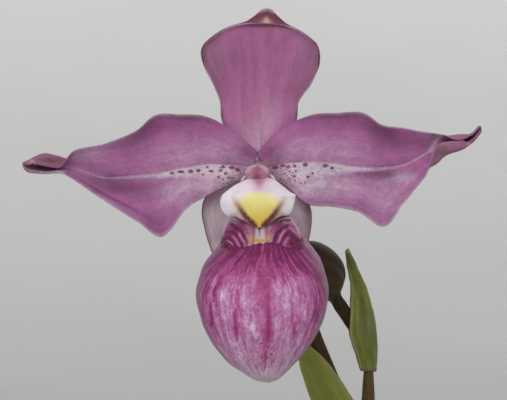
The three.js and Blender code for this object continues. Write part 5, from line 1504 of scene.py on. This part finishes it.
def pot():
    """The clay pot, with faint turning lines outside and three drain holes."""
    height, edge, base, collar = POT["height"], POT["edge"], POT["base"], POT["collar"]
    shoulder, floor, corner = height - POT["collar_height"], POT["floor"], POT["corner"]
    profile = rounded([
        [4, 0.02], [base - edge, 0], [base, edge], [POT["neck"], shoulder],
        [collar - 1.5, shoulder + 0.5], [collar - 1, shoulder + 2], [collar, height - 2 * edge],
        [collar - edge, height], [pot_inside(height) + edge, height],
        [pot_inside(height - edge), height - edge], [pot_inside(corner), corner],
        [pot_inside(floor) - 4, floor], [4, floor],
    ], radius=1.3, step=3.2)
    angle, ring = circle(POT["sides"])
    r, z = profile[:, :1], profile[:, 1:]
    turning = 0.1 * np.sin(z * 1.9 + 0.4 * np.sin(3 * angle)) + 0.16 * ripple(
        lathe(r, z, ring), 26, 61)
    outside = np.linspace(0, 1, len(profile))[:, None] <= 0.62
    r = r + smooth((z - 3) / 5) * outside * (turning - 0.12)
    points = np.concatenate([lathe(r, z, ring).reshape(-1, 3), [[0, 0, 0.02], [0, 0, floor]]])
    flow = stacked(np.linalg.norm(points[:, :2], axis=1), points[:, 2])
    shell = Shell(points, ring_faces(len(profile), POT["sides"]), flow, rise=points[:, 2] / height)
    made = piece("pot", shell, clay_material())
    for k in range(3):
        place = 2 * np.pi * k / 3 + np.pi / 6
        bpy.ops.mesh.primitive_cylinder_add(
            vertices=40, radius=POT["drain_radius"] / 1000, depth=0.04,
            location=(POT["drain_ring"] * np.cos(place) / 1000,
                      POT["drain_ring"] * np.sin(place) / 1000, 0.0045))
        drill = bpy.context.object
        cut = made.modifiers.new("drain", "BOOLEAN")
        cut.operation, cut.object, cut.solver = "DIFFERENCE", drill, "EXACT"
        bpy.context.view_layer.objects.active = made
        bpy.ops.object.modifier_apply(modifier=cut.name)
        bpy.data.objects.remove(drill)


def clay_material():
    look = Look("terracotta", Specular_IOR_Level=0.2)
    clouds = look.noise(look.place, 0.03, 5, 0.6)
    blotch = look.noise(look.place, 0.11, 5, 0.65)
    grain = look.noise(look.place, 1.6, 5, 0.75)
    pits = look.ramp(look.cells(look.place, 0.55), (0.08, 1.0), (0.2, 0.0))
    lime = look.times(look.ramp(clouds, (0.48, 0.0), (0.68, 0.75)),
                      look.ramp(grain, (0.35, 0.35), (0.6, 1.0)))
    level = look.put("SeparateXYZ", {0: look.place}, 2)
    turned_lines = look.noise(look.joined(look.times(level, 0.9), 0.0), 1.0, 3, 0.6)
    # Darker in blotches towards the foot of the pot.
    darker_foot = look.times(look.ramp("rise", (0.0, 0.8), (0.22, 0.0)),
                      look.ramp(blotch, (0.3, 0.4), (0.6, 1.0)))
    colour = look.layers(
        look.ramp(blotch, (0.34, (162, 92, 62)), (0.66, (188, 118, 84))),
        (look.ramp(grain, (0.35, 0.35), (0.7, 0.0)), (132, 70, 48)), (lime, (206, 184, 166)),
        (look.ramp(turned_lines, (0.3, 0.3), (0.5, 0.0)), (138, 76, 52)),
        (darker_foot, (118, 84, 64)), (look.times(pits, 0.5), (112, 62, 44)))
    height = look.total(0.0, (grain, 0.8), (pits, -1))
    return look.finish(colour, look.ramp(blotch, (0.3, 0.82), (0.7, 0.94)), height, 0.25)


pot()


# Bark
def chip(rng, size):
    """A rough chip of bark: a rounded box with splintered long sides."""
    cuts = 6
    t = np.linspace(-1, 1, cuts + 1)
    a, b = (g.ravel() for g in np.meshgrid(t, t, indexing="ij"))
    c = np.ones_like(a)
    points = np.concatenate([np.stack(s, -1) for s in (
        (c, a, b), (-c, b, a), (b, c, a), (a, -c, b), (a, b, c), (b, a, -c))])
    quads = grid_quads(np.arange(len(a)).reshape(cuts + 1, -1))
    faces = np.concatenate([quads + k * len(a) for k in range(6)])
    _, first, same = np.unique(
        np.round(points, 4), axis=0, return_index=True, return_inverse=True)
    points, faces = points[first], same.ravel()[faces]
    points = mix(points, unit(points) * 1.25, rng.uniform(0.25, 0.5))
    skew = 1 + 0.28 * rng.uniform(-1, 1, 3) * points[:, [1, 2, 0]]
    points = points * skew * np.array(size) / 2
    splinter = ripple(points * [0.35, 1.4, 1.4], 3.2, int(rng.integers(1e6)), 6)
    return points + 0.11 * size[2] * splinter[:, None] * unit(points), faces


def turned(points, rng, tilt):
    """Turned about the upright at random and tipped a little about two level axes."""
    angles = [tilt * rng.uniform(-1, 1), tilt * rng.uniform(-1, 1), 2 * np.pi * rng.random()]
    for (i, j), angle in zip([(1, 2), (0, 2), (0, 1)], angles):
        c, s = np.cos(angle), np.sin(angle)
        points[:, [i, j]] = points[:, [i, j]] @ [[c, s], [-s, c]]
    return points


def in_well(x, y, fan, leaves, spare):
    """Whether a place lies in the well of a leaf fan, or within a spare width of it."""
    last = len(leaves) - 1
    half = fan["first_gap"] + fan["gap_step"] * last + spare
    reach = max(fan["first_reach"] + fan["reach_step"] * last + spare, half)
    turn = np.radians(fan["turn"])
    dx, dy = x - fan["centre"][0], y - fan["centre"][1]
    a, b = dx * np.cos(turn) + dy * np.sin(turn), -dx * np.sin(turn) + dy * np.cos(turn)
    return np.hypot(max(abs(a) - (reach - half), 0), b) < half


def chips():
    """Big and small chips spread evenly over the pot, clear of the leaf fans."""
    rng = np.random.default_rng(BARK["seed"])
    limit = pot_inside(BARK["top"]) - 4
    for i in range(BARK["chips"]):
        share = np.sqrt((i + 0.5) / BARK["chips"])
        angle = i * GOLDEN_ANGLE + 0.3 * rng.random()
        x, y = limit * share * np.cos(angle), limit * share * np.sin(angle)
        big = rng.random() < 0.55
        if (in_well(x, y, FAN, LEAVES, 4.5 if big else 1.5)
                or in_well(x, y, OFFSET_FAN, OFFSET_LEAVES, 3.5 if big else 1.0)):
            continue
        size = np.array(BARK["size"]) * rng.uniform(0.7, 1.15, 3) * (1.0 if big else 0.55)
        points, faces = chip(rng, size)
        points = turned(points, rng, tilt=0.45)
        points += [x, y, BARK["top"] + (1.2 if big else 2.4) + 2.2 * rng.random()]
        bound = pot_inside(np.minimum(points[:, 2], POT["height"])) - BARK["gap"]
        points[:, :2] *= np.minimum(1, bound / np.linalg.norm(points[:, :2], axis=1))[:, None]
        tone = np.full(len(points), rng.random())
        yield Shell(points, [faces], points[:, :2] * 0.1 + rng.uniform(0, 50, 2), tone=tone)


def bark():
    """The chips on a core of bark that fills the pot."""
    sides, gap, corner = 72, BARK["gap"], POT["corner"]
    foot, top = POT["floor"] + gap, BARK["core"]
    profile = rounded([
        [2, foot], [pot_inside(foot) - 4 - gap, foot], [pot_inside(corner) - gap, corner + gap],
        [pot_inside(top) - gap, top], [2, top]], radius=0.8, step=5)
    rings = lathe(profile[:, :1], profile[:, 1:], circle(sides)[1])
    rings[..., 2] += (rings[..., 2] > top - 0.1) * 1.1 * ripple(rings, 5, 71)
    points = np.concatenate([rings.reshape(-1, 3), [[0, 0, foot], [0, 0, top]]])
    core = Shell(points, ring_faces(len(profile), sides), points[:, :2] * 0.1,
                 tone=np.full(len(points), 0.1))
    piece("bark", merged([*chips(), core]), bark_material())


def bark_material():
    look = Look("bark chips", Specular_IOR_Level=0.2)
    streak = look.noise(look.scaled(look.place, (0.5, 0.5, 2.2)), 0.5, 5, 0.7, 0.6)
    grain = look.noise(look.place, 1.3, 5, 0.7)
    colour = look.ramp(
        look.total(0.0, ("tone", 0.55), (streak, 0.55)), (0.2, (52, 34, 26)),
        (0.48, (96, 62, 42)), (0.72, (134, 92, 62)), (0.95, (158, 120, 88)))
    cracks = look.cells(look.scaled(look.place, (1.0, 0.45, 0.8)), 0.42, "DISTANCE_TO_EDGE")
    cracks = look.times(look.ramp(cracks, (0.0, 1.0), (0.06, 0.0)),
                        look.ramp(grain, (0.4, 0.2), (0.6, 1.0)))
    colour = look.layers(colour, (look.times(cracks, 0.45), (40, 26, 20)))
    height = look.total(0.0, (grain, 0.6), (streak, 0.8), (cracks, -1))
    return look.finish(colour, look.ramp(grain, (0.3, 0.75), (0.7, 0.92)), height, 0.5)


bark()


# Stage, lights and camera, in metres
# Lights: the way each comes from, its strength and how wide it is in degrees.
LIGHTS = {
    "key": ((-0.25, -1.0, 0.38), 2.3, 45), "fill": ((0.4, -1.0, 0.05), 1.65, 55),
    "back": ((0.35, 0.9, 0.55), 0.85, 50),
}
CAMERA = {"place": (-0.028145, -0.6614, 0.45845), "lens": 135, "sensor": 36, "clip": (0.05, 60)}


def stage():
    """A wide pale floor that rises gently far behind the plant."""
    flat, sides = 3.9, 96
    radius = np.concatenate([[0.02, 0.4, 1.2, 2.4, 3.6], np.linspace(flat, 10, 40)])[:, None]
    rings = lathe(radius, 0.11 * np.maximum(radius - flat, 0) ** 2, circle(sides)[1])
    points = np.concatenate([rings.reshape(-1, 3), [[0, 0, 0]]])
    ids = np.arange(len(radius) * sides).reshape(-1, sides)
    faces = ring_quads(ids)[:, ::-1].tolist() + cap(len(points) - 1, ids[0], True).tolist()
    mesh = bpy.data.meshes.new("floor")
    mesh.from_pydata(points.tolist(), [], faces)
    mesh.polygons.foreach_set("use_smooth", np.ones(len(mesh.polygons), bool))
    look = Look("pale floor", Specular_IOR_Level=0.1)
    tone = look.noise(look.put("TexCoord", {}, 3), 1.2, 2)
    look.finish(look.ramp(tone, (0.3, (196, 196, 194)), (0.7, (200, 200, 198))), 0.9)
    add("floor", mesh, look.material)


def sun(name, towards, strength, angle):
    """A broad soft light that comes from the way of towards, angle degrees wide."""
    light = bpy.data.lights.new(name, "SUN")
    light.energy, light.angle = strength, np.radians(angle)
    made = bpy.data.objects.new(name, light)
    made.location = Vector(towards) * 3
    made.rotation_euler = Vector(towards).to_track_quat("Z", "Y").to_euler()
    bpy.context.scene.collection.objects.link(made)


def studio():
    scene = bpy.context.scene
    stage()
    for name, light in LIGHTS.items():
        sun(name, *light)
    world = bpy.data.worlds.new("studio")
    world.use_nodes = True
    sky = world.node_tree.nodes["Background"]
    sky.inputs[0].default_value, sky.inputs[1].default_value = linear(236, 236, 240), 0.5
    scene.world = world
    scene.view_settings.view_transform = "Standard"
    camera = bpy.data.cameras.new("camera")
    camera.lens, camera.sensor_width = CAMERA["lens"], CAMERA["sensor"]
    camera.clip_start, camera.clip_end = CAMERA["clip"]
    eye = bpy.data.objects.new("camera", camera)
    eye.location = CAMERA["place"]
    eye.rotation_euler = (np.pi / 2, 0, 0)
    scene.collection.objects.link(eye)
    scene.camera = eye


studio()

bpy.context.view_layer.update()
